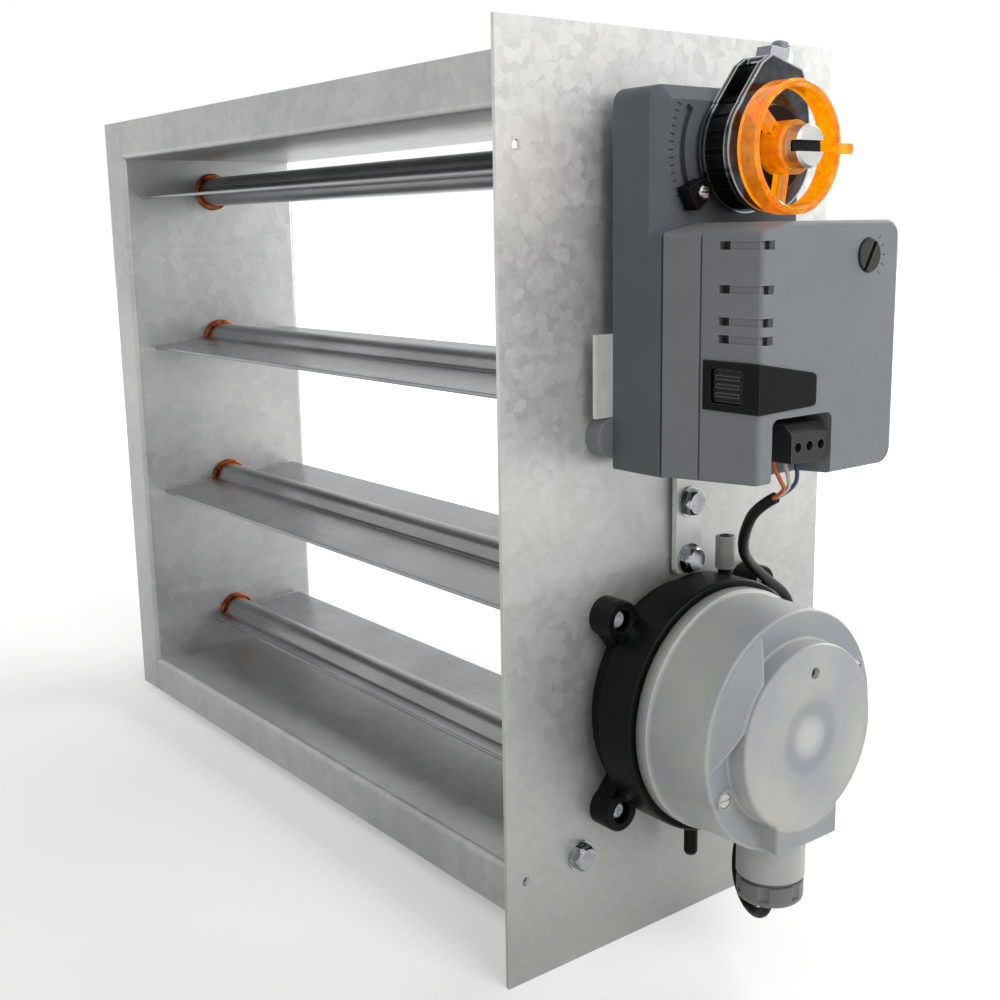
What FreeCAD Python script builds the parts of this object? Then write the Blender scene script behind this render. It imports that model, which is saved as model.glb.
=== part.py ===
"""Bypass damper: four parallel blades in a galvanised frame, worked by a direct-coupled
rotary actuator, with a differential pressure switch on the same mounting plate.

Millimetres. The origin is the centre of the mounting plate's outer face. +X points out of
that face, towards the actuator, +Y goes through the damper with the air, and +Z is up.
"""
import FreeCAD, Part
import math
import os
from FreeCAD import Vector

# Mounting plate
plate_height = 304.8
plate_depth = 150.0
plate_thickness = 1.5
pilot_hole_r = 1.6
pilot_inset_y = 7.5
pilot_inset_z = 36.0
plate_shaft_hole_r = 8.5

# Frame of formed channels
frame_height = 296.0
frame_width = 355.6
frame_depth = 95.0
frame_setback = 25.5
frame_sheet = 1.2
frame_bend_r = 1.2
jamb_flange = 22.0
head_flange = 18.0
return_lip = 12.0

# Blades and their shafts
blade_count = 4
drive_axis_z = 114.3
blade_pitch = 75.4
blade_reach = 38.6
blade_top_reach = 14.0
blade_bottom_reach = 15.0
blade_sheet = 0.8
blade_tube_wall = 0.85
blade_end_gap = 1.0
blade_fillet = 3.0
rest_tilt = 4.5
shaft_r = 6.35
shaft_fit = 0.05
shaft_left_stub = 5.0
shaft_drive_end = 54.7
shaft_chamfer = 0.8
driver_slot_width = 3.2
driver_slot_depth = 2.0

# Bronze bushes
bush_flange_r = 9.3
bush_flange_thickness = 2.0
bush_wall = 1.4
bush_tail = 3.0

# Linkage behind the plate
crank_length = 24.0
crank_rest_angle = -38.5
crank_thickness = 3.0
crank_end_r = 10.4
crank_boss_r = 9.4
crank_boss_length = 8.0
crank_eye_r = 7.0
crank_gap = 0.6
set_screw_r = 2.0
link_pin_r = 3.0
link_pin_head_r = 4.8
link_pin_head = 1.2
link_pin_fit = 0.06
link_pin_loose_fit = 0.30
tie_bar_thickness = 3.0
tie_bar_half_width = 6.5
tie_bar_gap = 0.4

# Actuator
actuator_width = 66.0
actuator_height = 116.0
actuator_above_axis = 18.8
actuator_standoff = 6.3
actuator_neck_face = 26.2
actuator_seam = 28.0
actuator_front = 65.6
actuator_shoulder_drop = 24.0
actuator_bevel = 4.4
actuator_corner_r = 5.0
actuator_front_edge_r = 1.5
actuator_far_draft = 4.6
actuator_bottom_draft = 2.8
actuator_top_slope = (13.0, 2.8)
seam_width = 1.0
seam_depth = 0.8
cover_groove_x = 42.6
vent_slot_z = (86.7, 74.6, 65.6, 60.6)
vent_slot_start = 50.0
vent_slot_height = 2.4
vent_slot_depth = 1.2

# Gear release on the actuator's near side
release_x = (44.5, 65.0)
release_z = (39.9, 54.6)
release_front_width = 24.3
release_front_drop = 4.4
release_proud = 0.5
release_side_depth = 9.0
button_length = 12.0
button_height = 10.0
button_travel = 2.5
button_gap = 0.35
button_recess = 1.2

# Terminals
terminal_pitch = 5.08
terminal_poles = 3
terminal_height = 11.2
terminal_margin = 0.8
terminal_first_y = -16.9
terminal_bottom_z = 24.4
terminal_chamfer = 2.8
terminal_core_setback = 9.2
terminal_entry_r = 1.5
terminal_recess_depth = 12.6
terminal_recess_top = 38.3
terminal_recess_y = (-29.2, -2.8)

# Selector knob
knob_y = 11.7
knob_z = 83.0
knob_r = 5.0
knob_proud = 0.8
knob_depth = 5.0
knob_slot_width = 1.6
knob_fit = 0.15
knob_rest_angle = 60.0

# Hub and clamp, in a frame turned by clamp_angle about the shaft
clamp_angle = 75.0
hub_collar_r = 12.0
hub_collar_fit = 0.10
hub_collar_back = 9.0
hub_disc_r = 17.0
hub_disc_back = 26.8
hub_disc_front = 28.0
hub_front = 41.4
hub_core_r = 12.5
yoke_sheet = 2.0
yoke_back = 28.0
yoke_front = 39.4
yoke_r = 18.5
yoke_top = 26.2
clamp_fit = 0.05
clamp_block_r = 17.3
clamp_block_half_width = 8.0
stud_r = 3.0
stud_tip = 32.6
stud_foot = 13.2
nut_across_flats = 10.0
nut_height = 3.6

# Indicator ring
ring_r = 19.3
ring_wall = 2.2
ring_back = 43.5
ring_front = 50.5
ring_boss_r = 7.8
ring_spoke_width = 4.0
ring_spoke_thickness = 2.5
ring_pointer_r = 26.5
ring_pointer_width = 3.2

# Adjustable end stops on the arc grooves
groove_r = 24.0
groove_width = 2.8
groove_depth = 2.0
left_groove = (148.0, 224.0)
right_groove = (-32.0, 32.0)
stop_angles = (211.0, 15.0)
stop_inner_r = 20.6
stop_outer_r = 28.6
stop_half_angle = 8.0
stop_thickness = 5.0
stop_gap = 0.3
stop_screw_r = 2.2
stop_screw_head = 1.4

# Sheet metal behind and below the actuator
offset_bracket_y = (-42.0, 24.0)
offset_bracket_z = (33.8, 59.8)
offset_bracket_sheet = 1.5
strap_centre_y = 3.0
strap_width = 12.0
strap_z = (-23.8, 30.0)
strap_sheet = 2.0
strap_standoff = 1.4
strap_bolt_z = (-18.8, 0.8)
bumper_y = -34.5
bumper_z = 27.2
bumper_r = 6.5
bolt_flats = 8.0
bolt_head = 3.4
bolt_washer_r = 5.2
bolt_washer = 0.9
bolt_shank_r = 2.4
plate_screw_y_inset = 5.6
plate_screw_z = 114.7

# Pressure switch
switch_y = 1.0
switch_z = -66.2
switch_base_r = 43.4
switch_base_back_r = 39.5
switch_base_rim_x = 8.0
switch_base_height = 22.0
switch_ear_y = 33.8
switch_ear_z = 33.3
switch_ear_r = 6.7
switch_ear_height = 9.0
ear_screw_hole_r = 2.2
ear_screw_head_r = 2.9
ear_counterbore_r = 4.0
ear_counterbore_depth = 4.5
nipple_x = 11.0
nipple_r = 2.4
nipple_bore_r = 1.1
nipple_length = 13.5
nipple_taper = 1.0
nipple_offsets = (-3.0, 12.0)
cover_lip_r = 41.0
cover_lip_end = 27.0
cover_r = 39.9
cover_shoulder_r = 39.6
cover_shoulder_x = 51.5
cover_wall = 1.8
cover_disc_r = 30.2
cover_front = 58.7
cover_lobe_front = 57.8
cover_lobe_root = 0.8
cover_lobe_r = 39.0
cover_lobe_points = ((-15.0, 36.3), (-21.7, 19.7), (-28.3, 9.5), (-37.9, -4.6))
cover_peep_hole_r = 2.0
cover_peep_y = 1.6
cover_peep_z = 20.8
cover_screw_r = 2.2
cover_screw_radius = 34.6
cover_screw_angles = (205.0, 25.0)
cover_post_r = 3.4
cover_post_rise = 0.6
hood_half_width = 14.8
hood_back = 33.0
hood_bottom = -102.2
hood_edge_r = 1.0
housing_r = 36.0
housing_step_r = 30.0
housing_step_x = 29.0
housing_top_x = 40.0
dial_r = 11.8
dial_y = 1.0
dial_top_x = 54.5
dial_core_r = 6.0
dial_gap = 0.3

# Cable gland and cable
gland_x = 44.0
gland_neck_r = 11.2
gland_neck_end = -117.0
gland_body_r = 8.4
gland_flange_r = 10.6
gland_nut_r = 10.9
gland_nut_top = -118.6
gland_nut_end = -126.0
gland_nut_flutes = 6
cable_r = 1.8
core_r = 0.65
cable_arc_share = 0.45
cable_route = (
    (44.0, 1.0, -119.5),
    (44.0, 1.0, -130.5),
    (37.4, 3.6, -137.6),
    (28.1, 7.3, -137.6),
    (21.5, 9.9, -130.5),
    (18.6, 14.0, -121.0),
    (15.4, 23.0, -113.6),
    (13.0, 34.4, -108.4),
    (11.6, 45.2, -102.6),
    (9.6, 50.8, -92.0),
    (9.0, 52.6, -78.0),
    (9.0, 53.0, -63.0),
    (9.4, 51.4, -48.8),
    (10.6, 46.4, -38.2),
    (13.6, 31.5, -29.3),
    (18.0, 16.6, -19.8),
    (27.0, 3.3, -11.0),
    (35.5, -5.0, -1.8),
    (43.5, -9.5, 6.8),
    (50.5, -9.0, 11.0),
)
core_first_run = 5.4
core_bend = (56.0, 17.6)

# Worked-out places
axis_y = frame_setback + frame_depth / 2 - plate_depth / 2
frame_front = frame_setback - plate_depth / 2
frame_back = frame_front + frame_depth
plate_back = -plate_thickness
left_edge = plate_back - frame_width
left_web = left_edge + jamb_flange
right_web = plate_back - jamb_flange
head_web = frame_height / 2 - head_flange
blade_axes = [drive_axis_z - blade_pitch * i for i in range(blade_count)]
drive_z = blade_axes[0]
tube_r = shaft_r + blade_tube_wall
bush_r = shaft_r + bush_wall
crank_x = right_web + frame_sheet + bush_tail + crank_gap
link_x = crank_x + crank_thickness + tie_bar_gap
actuator_left = axis_y - actuator_width / 2
actuator_right = axis_y + actuator_width / 2
actuator_top = drive_z + actuator_above_axis
actuator_bottom = actuator_top - actuator_height
shoulder_z = drive_z - actuator_shoulder_drop

X_AXIS = Vector(1, 0, 0)
Y_AXIS = Vector(0, 1, 0)
Z_AXIS = Vector(0, 0, 1)


def save(name, shape):
    """Write one piece, and print its volume so that a broken solid shows."""
    shape.exportStep("parts/" + name + ".step")
    print(name, len(shape.Solids), round(shape.Volume, 1), shape.isValid())


def box(x, y, z):
    """A block between two values along each axis."""
    corner = Vector(min(x), min(y), min(z))
    return Part.makeBox(abs(x[1] - x[0]), abs(y[1] - y[0]), abs(z[1] - z[0]), corner)


def rod(start, end, radius):
    """A round bar from one point to another."""
    line = end - start
    return Part.makeCylinder(radius, line.Length, start, line)


def rod_x(x, y, z, radius):
    return rod(Vector(x[0], y, z), Vector(x[1], y, z), radius)


def on_yz(x):
    """Places a 2D point on the plane at x, with its first value along Y."""
    return lambda u, v: Vector(x, u, v)


def on_xy(z):
    return lambda u, v: Vector(u, v, z)


def on_xz(y):
    return lambda u, v: Vector(u, y, v)


def rounded_wire(points, radii, place):
    """A closed outline through the points, with each corner rounded by its radius."""
    edges = []
    count = len(points)
    starts = []
    ends = []
    middles = []
    for i in range(count):
        before = Vector(*points[i - 1], 0)
        corner = Vector(*points[i], 0)
        after = Vector(*points[(i + 1) % count], 0)
        inward = (before - corner).normalize()
        outward = (after - corner).normalize()
        half = inward.getAngle(outward) / 2
        radius = radii[i]
        reach = radius / math.tan(half)
        starts.append(corner + inward * reach)
        ends.append(corner + outward * reach)
        bisector = (inward + outward).normalize()
        centre = corner + bisector * (radius / math.sin(half))
        middles.append(centre - bisector * radius)
    for i in range(count):
        start = place(starts[i].x, starts[i].y)
        end = place(ends[i].x, ends[i].y)
        if radii[i] > 0:
            middle = place(middles[i].x, middles[i].y)
            edges.append(Part.Arc(start, middle, end).toShape())
        following = starts[(i + 1) % count]
        target = place(following.x, following.y)
        if (target - end).Length > 1e-6:
            edges.append(Part.LineSegment(end, target).toShape())
    return Part.Wire(edges)


def prism(points, radii, place, depth):
    """The rounded outline drawn out along a vector."""
    if not isinstance(radii, (list, tuple)):
        radii = [radii] * len(points)
    return Part.Face(rounded_wire(points, radii, place)).extrude(depth)


def rectangle(u, v):
    return [(u[0], v[0]), (u[1], v[0]), (u[1], v[1]), (u[0], v[1])]


def sheet_profile(path, thickness, bend_r):
    """Outline and corner radii of sheet folded along an open path, laid on its left side."""
    outer = [Vector(u, v, 0) for u, v in path]
    normals = []
    for start, end in zip(outer, outer[1:]):
        run = (end - start).normalize()
        normals.append(Vector(-run.y, run.x, 0))
    inner = [outer[0] + normals[0] * thickness]
    outer_radii = [0.0]
    inner_radii = [0.0]
    for i in range(1, len(outer) - 1):
        mitre = normals[i - 1] + normals[i]
        inner.append(outer[i] + mitre * (2 * thickness / mitre.Length ** 2))
        turns_left = normals[i - 1].cross(normals[i]).z > 0
        outer_radii.append(bend_r + thickness if turns_left else bend_r)
        inner_radii.append(bend_r if turns_left else bend_r + thickness)
    inner.append(outer[-1] + normals[-1] * thickness)
    outer_radii.append(0.0)
    inner_radii.append(0.0)
    points = [(p.x, p.y) for p in outer + inner[::-1]]
    return points, outer_radii + inner_radii[::-1]


def turned(shape, centre, angle):
    """A copy turned about the X direction through a point."""
    copy = shape.copy()
    copy.rotate(centre, X_AXIS, angle)
    return copy


def hexagon(across_flats, place, depth):
    radius = across_flats / math.sqrt(3)
    corners = [
        (radius * math.cos(math.radians(60 * k)), radius * math.sin(math.radians(60 * k)))
        for k in range(6)
    ]
    return prism(corners, 0.0, place, depth)


def washer_screw(x, y, z, shank):
    """A hex washer-head screw standing on the plane at x, with its shank behind."""
    washer = rod_x((x, x + bolt_washer), y, z, bolt_washer_r)
    head = hexagon(
        bolt_flats, lambda u, v: Vector(x + bolt_washer, y + u, z + v), Vector(bolt_head, 0, 0)
    )
    crown = Part.makeCone(
        bolt_flats / 2 + 2.2, bolt_flats / 2 - 0.4, bolt_head, Vector(x + bolt_washer, y, z), X_AXIS
    )
    stem = rod_x((x - shank, x + bolt_washer), y, z, bolt_shank_r)
    return washer.fuse([head.common(crown), stem]).removeSplitter()


def plate_hole_places():
    """The four small holes near the plate's corners."""
    half_y = plate_depth / 2 - pilot_inset_y
    half_z = plate_height / 2 - pilot_inset_z
    return [(sy * half_y, sz * half_z) for sy in (-1, 1) for sz in (-1, 1)]


def plate_screw_places():
    """Screws through the plate into the return lips of the near jamb."""
    front = frame_front + plate_screw_y_inset
    back = frame_back - plate_screw_y_inset
    return [(front, -plate_screw_z), (back, -plate_screw_z), (back, plate_screw_z)]


def switch_ear_places():
    return [
        (switch_y + sy * switch_ear_y, switch_z + sz * switch_ear_z)
        for sy in (-1, 1)
        for sz in (-1, 1)
    ]


def mounting_plate():
    """The flat galvanised plate that carries the actuator and the pressure switch."""
    plate = box(
        (plate_back, 0), (-plate_depth / 2, plate_depth / 2), (-plate_height / 2, plate_height / 2)
    )
    through = (plate_back - 1, 1)
    holes = [rod_x(through, y, z, pilot_hole_r) for y, z in plate_hole_places()]
    holes.append(rod_x(through, axis_y, drive_z, plate_shaft_hole_r))
    holes += [rod_x(through, y, z, bolt_shank_r) for y, z in plate_screw_places()]
    holes += [rod_x(through, strap_centre_y, z, bolt_shank_r) for z in strap_bolt_z]
    holes += [rod_x(through, y, z, ear_screw_hole_r) for y, z in switch_ear_places()]
    return plate.cut(holes)


def jamb(web_x, flange_tip_x):
    """An upright channel with its web on the blades, flanges outwards and lips turned in."""
    path = [
        (flange_tip_x, frame_front + return_lip),
        (flange_tip_x, frame_front),
        (web_x, frame_front),
        (web_x, frame_back),
        (flange_tip_x, frame_back),
        (flange_tip_x, frame_back - return_lip),
    ]
    if flange_tip_x < web_x:
        path = path[::-1]
    points, radii = sheet_profile(path[::-1], frame_sheet, frame_bend_r)
    body = prism(points, radii, on_xy(-frame_height / 2), Z_AXIS * frame_height)
    inner = web_x - 5 if flange_tip_x > web_x else web_x + 5
    outer = web_x + 5 if flange_tip_x > web_x else web_x - 5
    holes = [rod_x((inner, outer), axis_y, z, bush_r) for z in blade_axes]
    if flange_tip_x > web_x:
        holes += [
            rod_x((flange_tip_x - 5, flange_tip_x + 1), y, z, bolt_shank_r)
            for y, z in plate_screw_places()
        ]
    return body.cut(holes)


def cross_channel(side):
    """The head (side 1) or sill (side -1) channel between the jambs."""
    tip = side * frame_height / 2
    web = side * head_web
    path = [(frame_front, tip), (frame_front, web), (frame_back, web), (frame_back, tip)]
    if side < 0:
        path = path[::-1]
    points, radii = sheet_profile(path, frame_sheet, frame_bend_r)
    return prism(points, radii, on_yz(left_web), Vector(right_web - left_web, 0, 0))


def blade_reaches(index):
    """How far a blade goes to the front and to the back of its shaft."""
    front = blade_bottom_reach if index == blade_count - 1 else blade_reach
    back = blade_top_reach if index == 0 else blade_reach
    return front, back


def blade(index):
    """Two formed skins, back to back and pressed round the shaft, with rounded long edges."""
    front, back = blade_reaches(index)
    z = blade_axes[index]
    half = blade_sheet
    outline = rectangle((axis_y - front, axis_y + back), (z - half, z + half))
    start = left_web + bush_flange_thickness + blade_end_gap
    end = right_web - bush_flange_thickness - blade_end_gap
    skin = prism(outline, half - 0.05, on_yz(start), Vector(end - start, 0, 0))
    tube = rod_x((start, end), axis_y, z, tube_r)
    body = skin.fuse(tube)
    root = math.sqrt(tube_r ** 2 - half ** 2)
    roots = [
        e for e in body.Edges
        if abs(e.Length - (end - start)) < 0.01
        and abs(abs(e.CenterOfMass.y - axis_y) - root) < 0.05
        and abs(abs(e.CenterOfMass.z - z) - half) < 0.05
    ]
    body = body.makeFillet(blade_fillet, roots)
    body = body.cut(rod_x((start - 1, end + 1), axis_y, z, shaft_r + shaft_fit))
    return turned(body, Vector(0, axis_y, z), rest_tilt)


def blade_shaft(index):
    """A half-inch steel rod. The top one goes on through the plate and the actuator."""
    z = blade_axes[index]
    start = left_web - frame_sheet - shaft_left_stub
    drives = index == 0
    end = shaft_drive_end if drives else crank_x + crank_boss_length
    body = rod_x((start, end), axis_y, z, shaft_r)
    rims = [e for e in body.Edges if abs(e.Length - 2 * math.pi * shaft_r) < 0.01]
    body = body.makeChamfer(shaft_chamfer, rims)
    if drives:
        half = driver_slot_width / 2
        slot = box(
            (end - driver_slot_depth, end + 1),
            (axis_y - shaft_r - 1, axis_y + shaft_r + 1),
            (z - half, z + half),
        )
        body = body.cut(slot)
    return body


def bush(web_face, outward, z):
    """A flanged bronze bush pressed through a jamb's web, with its flange on the blade side."""
    flange = rod_x((web_face, web_face - outward * bush_flange_thickness), axis_y, z, bush_flange_r)
    tail = web_face + outward * (frame_sheet + bush_tail)
    barrel = rod_x((web_face, tail), axis_y, z, bush_r)
    rim = [
        e for e in flange.Edges
        if abs(e.CenterOfMass.x - (web_face - outward * bush_flange_thickness)) < 0.01
        and abs(e.Length - 2 * math.pi * bush_flange_r) < 0.01
    ]
    flange = flange.makeFillet(0.6, rim)
    bore = rod_x((web_face - 5, web_face + 5), axis_y, z, shaft_r + shaft_fit)
    return flange.fuse(barrel).cut(bore)


def bushes(web_face, outward):
    return Part.makeCompound([bush(web_face, outward, z) for z in blade_axes])


def crank_eye(index):
    """Where the crank's pin stands at rest."""
    angle = math.radians(crank_rest_angle)
    return (
        axis_y + crank_length * math.cos(angle),
        blade_axes[index] + crank_length * math.sin(angle),
    )


def crank(index):
    """A tapered lever with a clamping boss on the shaft."""
    z = blade_axes[index]
    spread = math.acos((crank_end_r - crank_eye_r) / crank_length)
    cos_s = math.cos(spread)
    sin_s = math.sin(spread)
    place = on_yz(crank_x)
    hub = [place(axis_y + crank_end_r * cos_s, z + s * crank_end_r * sin_s) for s in (1, -1)]
    eye_y = axis_y + crank_length
    eye = [place(eye_y + crank_eye_r * cos_s, z + s * crank_eye_r * sin_s) for s in (1, -1)]
    outline = Part.Wire([
        Part.Arc(hub[0], place(axis_y - crank_end_r, z), hub[1]).toShape(),
        Part.LineSegment(hub[1], eye[1]).toShape(),
        Part.Arc(eye[1], place(eye_y + crank_eye_r, z), eye[0]).toShape(),
        Part.LineSegment(eye[0], hub[0]).toShape(),
    ])
    arm = Part.Face(outline).extrude(Vector(crank_thickness, 0, 0))
    boss = rod_x((crank_x, crank_x + crank_boss_length), axis_y, z, crank_boss_r)
    body = arm.fuse(boss)
    through = (crank_x - 1, crank_x + crank_boss_length + 1)
    foot = set_screw_foot(z)
    body = body.cut([
        rod_x(through, axis_y, z, shaft_r + clamp_fit),
        rod_x(through, eye_y, z, link_pin_r),
        rod(foot + Y_AXIS, foot - Y_AXIS * crank_boss_r, set_screw_r),
    ])
    return turned(body.removeSplitter(), Vector(0, axis_y, z), crank_rest_angle)


def set_screw_foot(z):
    """Where the set screw bears on the shaft, before the crank is turned to rest."""
    x = crank_x + (crank_thickness + crank_boss_length) / 2
    return Vector(x, axis_y - shaft_r - clamp_fit, z)


def set_screw(index):
    """A socket set screw that holds the crank on its shaft."""
    z = blade_axes[index]
    foot = set_screw_foot(z)
    length = crank_boss_r - shaft_r + 1.0
    tip = foot + Y_AXIS * -length
    body = rod(foot, tip, set_screw_r)
    socket = hexagon(2.0, lambda u, v: Vector(tip.x + u, tip.y, tip.z + v), Y_AXIS * 1.5)
    return turned(body.cut(socket), Vector(0, axis_y, z), crank_rest_angle)


def link_pin(index):
    """A riveted pin in the crank's eye, with a head over the tie bar."""
    y, z = crank_eye(index)
    head_x = link_x + tie_bar_thickness + tie_bar_gap
    stem = rod_x((crank_x, head_x), y, z, link_pin_r)
    head = rod_x((head_x, head_x + link_pin_head), y, z, link_pin_head_r)
    return stem.fuse(head)


def tie_bar():
    """The flat bar that joins the cranks. Its first hole is the close one."""
    y, top = crank_eye(0)
    bottom = crank_eye(blade_count - 1)[1]
    half = tie_bar_half_width
    place = on_yz(link_x)
    outline = Part.Wire([
        Part.LineSegment(place(y + half, bottom), place(y + half, top)).toShape(),
        Part.Arc(place(y + half, top), place(y, top + half), place(y - half, top)).toShape(),
        Part.LineSegment(place(y - half, top), place(y - half, bottom)).toShape(),
        Part.Arc(
            place(y - half, bottom), place(y, bottom - half), place(y + half, bottom)
        ).toShape(),
    ])
    bar = Part.Face(outline).extrude(Vector(tie_bar_thickness, 0, 0))
    holes = []
    for i in range(blade_count):
        fit = link_pin_fit if i == 0 else link_pin_loose_fit
        hole_z = crank_eye(i)[1]
        holes.append(rod_x((link_x - 1, link_x + tie_bar_thickness + 1), y, hole_z, link_pin_r + fit))
    return bar.cut(holes)


def arc_groove(angles, x):
    """A round-ended groove along an arc about the shaft, cut to groove_depth under x."""
    centre = Vector(x - groove_depth, axis_y, drive_z)
    inner = Part.makeCylinder(groove_r - groove_width / 2, groove_depth + 1, centre, X_AXIS)
    outer = Part.makeCylinder(groove_r + groove_width / 2, groove_depth + 1, centre, X_AXIS)
    reach = 2 * actuator_width
    corners = [centre]
    for k in range(5):
        angle = math.radians(angles[0] + (angles[1] - angles[0]) * k / 4)
        corners.append(centre + Vector(0, reach * math.cos(angle), reach * math.sin(angle)))
    corners.append(centre)
    wedge = Part.Face(Part.makePolygon(corners)).extrude(Vector(groove_depth + 1, 0, 0))
    return outer.cut(inner).common(wedge)


def edges_near(body, test):
    return [e for e in body.Edges if test(e.CenterOfMass)]


def actuator_base():
    """The rear housing: the thin neck that the hub turns in, and the back of the block."""
    outline = rectangle((actuator_left, actuator_right), (actuator_bottom, actuator_top))
    start = actuator_standoff
    neck = prism(
        outline, actuator_corner_r, on_yz(start), Vector(actuator_neck_face - start, 0, 0)
    )
    front_rim = edges_near(
        neck,
        lambda c: abs(c.x - actuator_neck_face) < 0.01 and c.z > actuator_bottom + 20,
    )
    neck = neck.makeChamfer(actuator_bevel, front_rim)
    lower = Part.Face(cover_outline(start, 0.0, actuator_bottom)).extrude(
        Vector(actuator_seam - start, 0, 0)
    )
    body = neck.fuse(lower).removeSplitter()
    through = (start - 1, actuator_seam + 1)
    body = body.cut(rod_x(through, axis_y, drive_z, hub_collar_r + hub_collar_fit))
    body = body.cut([
        arc_groove(left_groove, actuator_neck_face),
        arc_groove(right_groove, actuator_neck_face),
    ])
    seam = box(
        (actuator_seam - seam_width, actuator_seam + 1),
        (actuator_left - 1, actuator_right + 1),
        (actuator_bottom - 1, shoulder_z + 1),
    ).cut(
        box(
            (actuator_seam - seam_width - 1, actuator_seam + 2),
            (actuator_left + seam_depth, actuator_right - seam_depth),
            (actuator_bottom + seam_depth, shoulder_z + 2),
        )
    )
    return body.cut(seam)


def cover_outline(x, inset, bottom):
    """The front block's outline at one depth. Its top slopes up from the near side."""
    run, rise = actuator_top_slope
    points = [
        (actuator_left, bottom), (actuator_right - inset, bottom),
        (actuator_right - inset, shoulder_z + rise), (actuator_left + run, shoulder_z + rise),
        (actuator_left, shoulder_z),
    ]
    corner = actuator_corner_r
    return rounded_wire(points, [1.0, corner, corner, corner, 1.5], on_yz(x))


def actuator_cover():
    """The front block: drafted sides, ribs of vents, and pockets for what sits in it."""
    back = cover_outline(actuator_seam, 0.0, actuator_bottom + 0.4)
    front = cover_outline(
        actuator_front, actuator_far_draft, actuator_bottom + actuator_bottom_draft
    )
    body = Part.makeLoft([back, front], True, True)
    front_rim = edges_near(body, lambda c: abs(c.x - actuator_front) < 0.01)
    body = body.makeFillet(actuator_front_edge_r, front_rim)
    cuts = [terminal_recess(), release_pocket(), knob_pocket()]
    cuts.append(box(
        (cover_groove_x, cover_groove_x + seam_width),
        (actuator_left - 1, actuator_left + seam_depth),
        (actuator_bottom - 1, shoulder_z + 1),
    ))
    cuts += [vent_slot(z) for z in vent_slot_z]
    return body.cut(cuts)


def vent_slot(z):
    """A slot on the near side, deep at its back end, that runs out round the front corner."""
    half = vent_slot_height / 2
    heights = (z - half, z + half)
    shallow = actuator_left + vent_slot_depth / 2
    deep = actuator_left + 2 * vent_slot_depth
    slot = box((vent_slot_start, actuator_front + 1), (actuator_left - 1, shallow), heights)
    well = box((vent_slot_start, vent_slot_start + 3.5), (actuator_left - 1, deep), heights)
    corner = box(
        (actuator_front - vent_slot_depth, actuator_front + 1),
        (actuator_left - 1, actuator_left + 2.8),
        heights,
    )
    return slot.fuse([well, corner])


def terminal_recess():
    """The notch in the front face's lower edge that the terminal block sits in."""
    low = actuator_bottom - 2
    outline = rectangle(terminal_recess_y, (low, terminal_recess_top))
    return prism(
        outline,
        [0.0, 0.0, 2.5, 2.5],
        on_yz(actuator_front - terminal_recess_depth),
        Vector(terminal_recess_depth + 1, 0, 0),
    )


def terminal_block():
    """A three-pole plug-in terminal block with round entries in front and below."""
    half = terminal_pitch / 2 + terminal_margin / 2
    left = terminal_first_y - half
    right = terminal_first_y + terminal_pitch * (terminal_poles - 1) + half
    front = actuator_front - 0.6
    low = terminal_bottom_z
    high = low + terminal_height
    back = actuator_front - terminal_recess_depth
    chamfer = terminal_chamfer
    profile = [
        (back, low), (front, low), (front, high - chamfer), (front - chamfer, high), (back, high)
    ]
    body = prism(profile, [0.0, 0.4, 0.4, 0.4, 0.0], on_xz(left), Vector(0, right - left, 0))
    cuts = []
    for k in range(terminal_poles):
        y = terminal_first_y + terminal_pitch * k
        cuts.append(rod_x((front - 5, front + 1), y, low + 4.6, terminal_entry_r))
        foot = Vector(front - terminal_core_setback, y, low - 1)
        cuts.append(rod(foot, foot + Z_AXIS * 3.0, core_r + 0.3))
    return body.cut(cuts)


def release_outline(grow):
    """The front view of the black release block, tapering away from the near side."""
    left = actuator_left - 1 - grow
    right = actuator_left + release_front_width + grow
    low, high = release_z
    return [
        (left, low - grow), (right, low + 0.8 - grow),
        (right, high - release_front_drop + grow), (left, high + grow),
    ]


def release_pocket():
    """The pocket in the cover for the release block, open to the side and the front."""
    return prism(
        release_outline(0.0),
        [0.0, 1.5, 1.5, 0.0],
        on_yz(release_x[0]),
        Vector(actuator_front + 1 - release_x[0], 0, 0),
    )


def release_surround():
    """The black block round the gear release, wrapping the cover's near corner."""
    body = prism(
        release_outline(-button_gap / 2),
        [0.0, 1.4, 1.4, 0.0],
        on_yz(release_x[0] + button_gap / 2),
        Vector(actuator_front + release_proud - release_x[0] - button_gap / 2, 0, 0),
    )
    trim = box(
        (release_x[0] - 1, actuator_front + 2),
        (actuator_left - 5, actuator_left - release_proud),
        (release_z[0] - 2, release_z[1] + 2),
    )
    body = body.cut(trim)
    return body.cut(button_well())


def button_middle():
    return (
        (release_x[0] + release_x[1]) / 2 - 1.0,
        (release_z[0] + release_z[1]) / 2,
    )


def button_well():
    """The well in the near side that the release button travels in."""
    x, z = button_middle()
    outline = rectangle(
        (x - button_length / 2, x + button_length / 2),
        (z - button_height / 2, z + button_height / 2),
    )
    face_y = actuator_left - release_proud
    return prism(outline, 1.0, on_xz(face_y - 1), Vector(0, 1 + release_side_depth, 0))


def release_button():
    """The ribbed push button that lets the gears go for turning by hand."""
    x, z = button_middle()
    half_x = button_length / 2 - button_gap
    half_z = button_height / 2 - button_gap
    face_y = actuator_left - release_proud + button_recess
    depth = release_side_depth - release_proud - button_recess - button_travel
    outline = rectangle((x - half_x, x + half_x), (z - half_z, z + half_z))
    body = prism(outline, 0.8, on_xz(face_y), Vector(0, depth, 0))
    rib_pitch = button_height / 4
    ribs = [
        box(
            (x - half_x + 1.4, x + half_x - 1.0),
            (face_y - button_recess + 0.3, face_y + 0.1),
            (z + k * rib_pitch - 0.6, z + k * rib_pitch + 0.6),
        )
        for k in (-1, 0, 1)
    ]
    return body.fuse(ribs)


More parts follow.
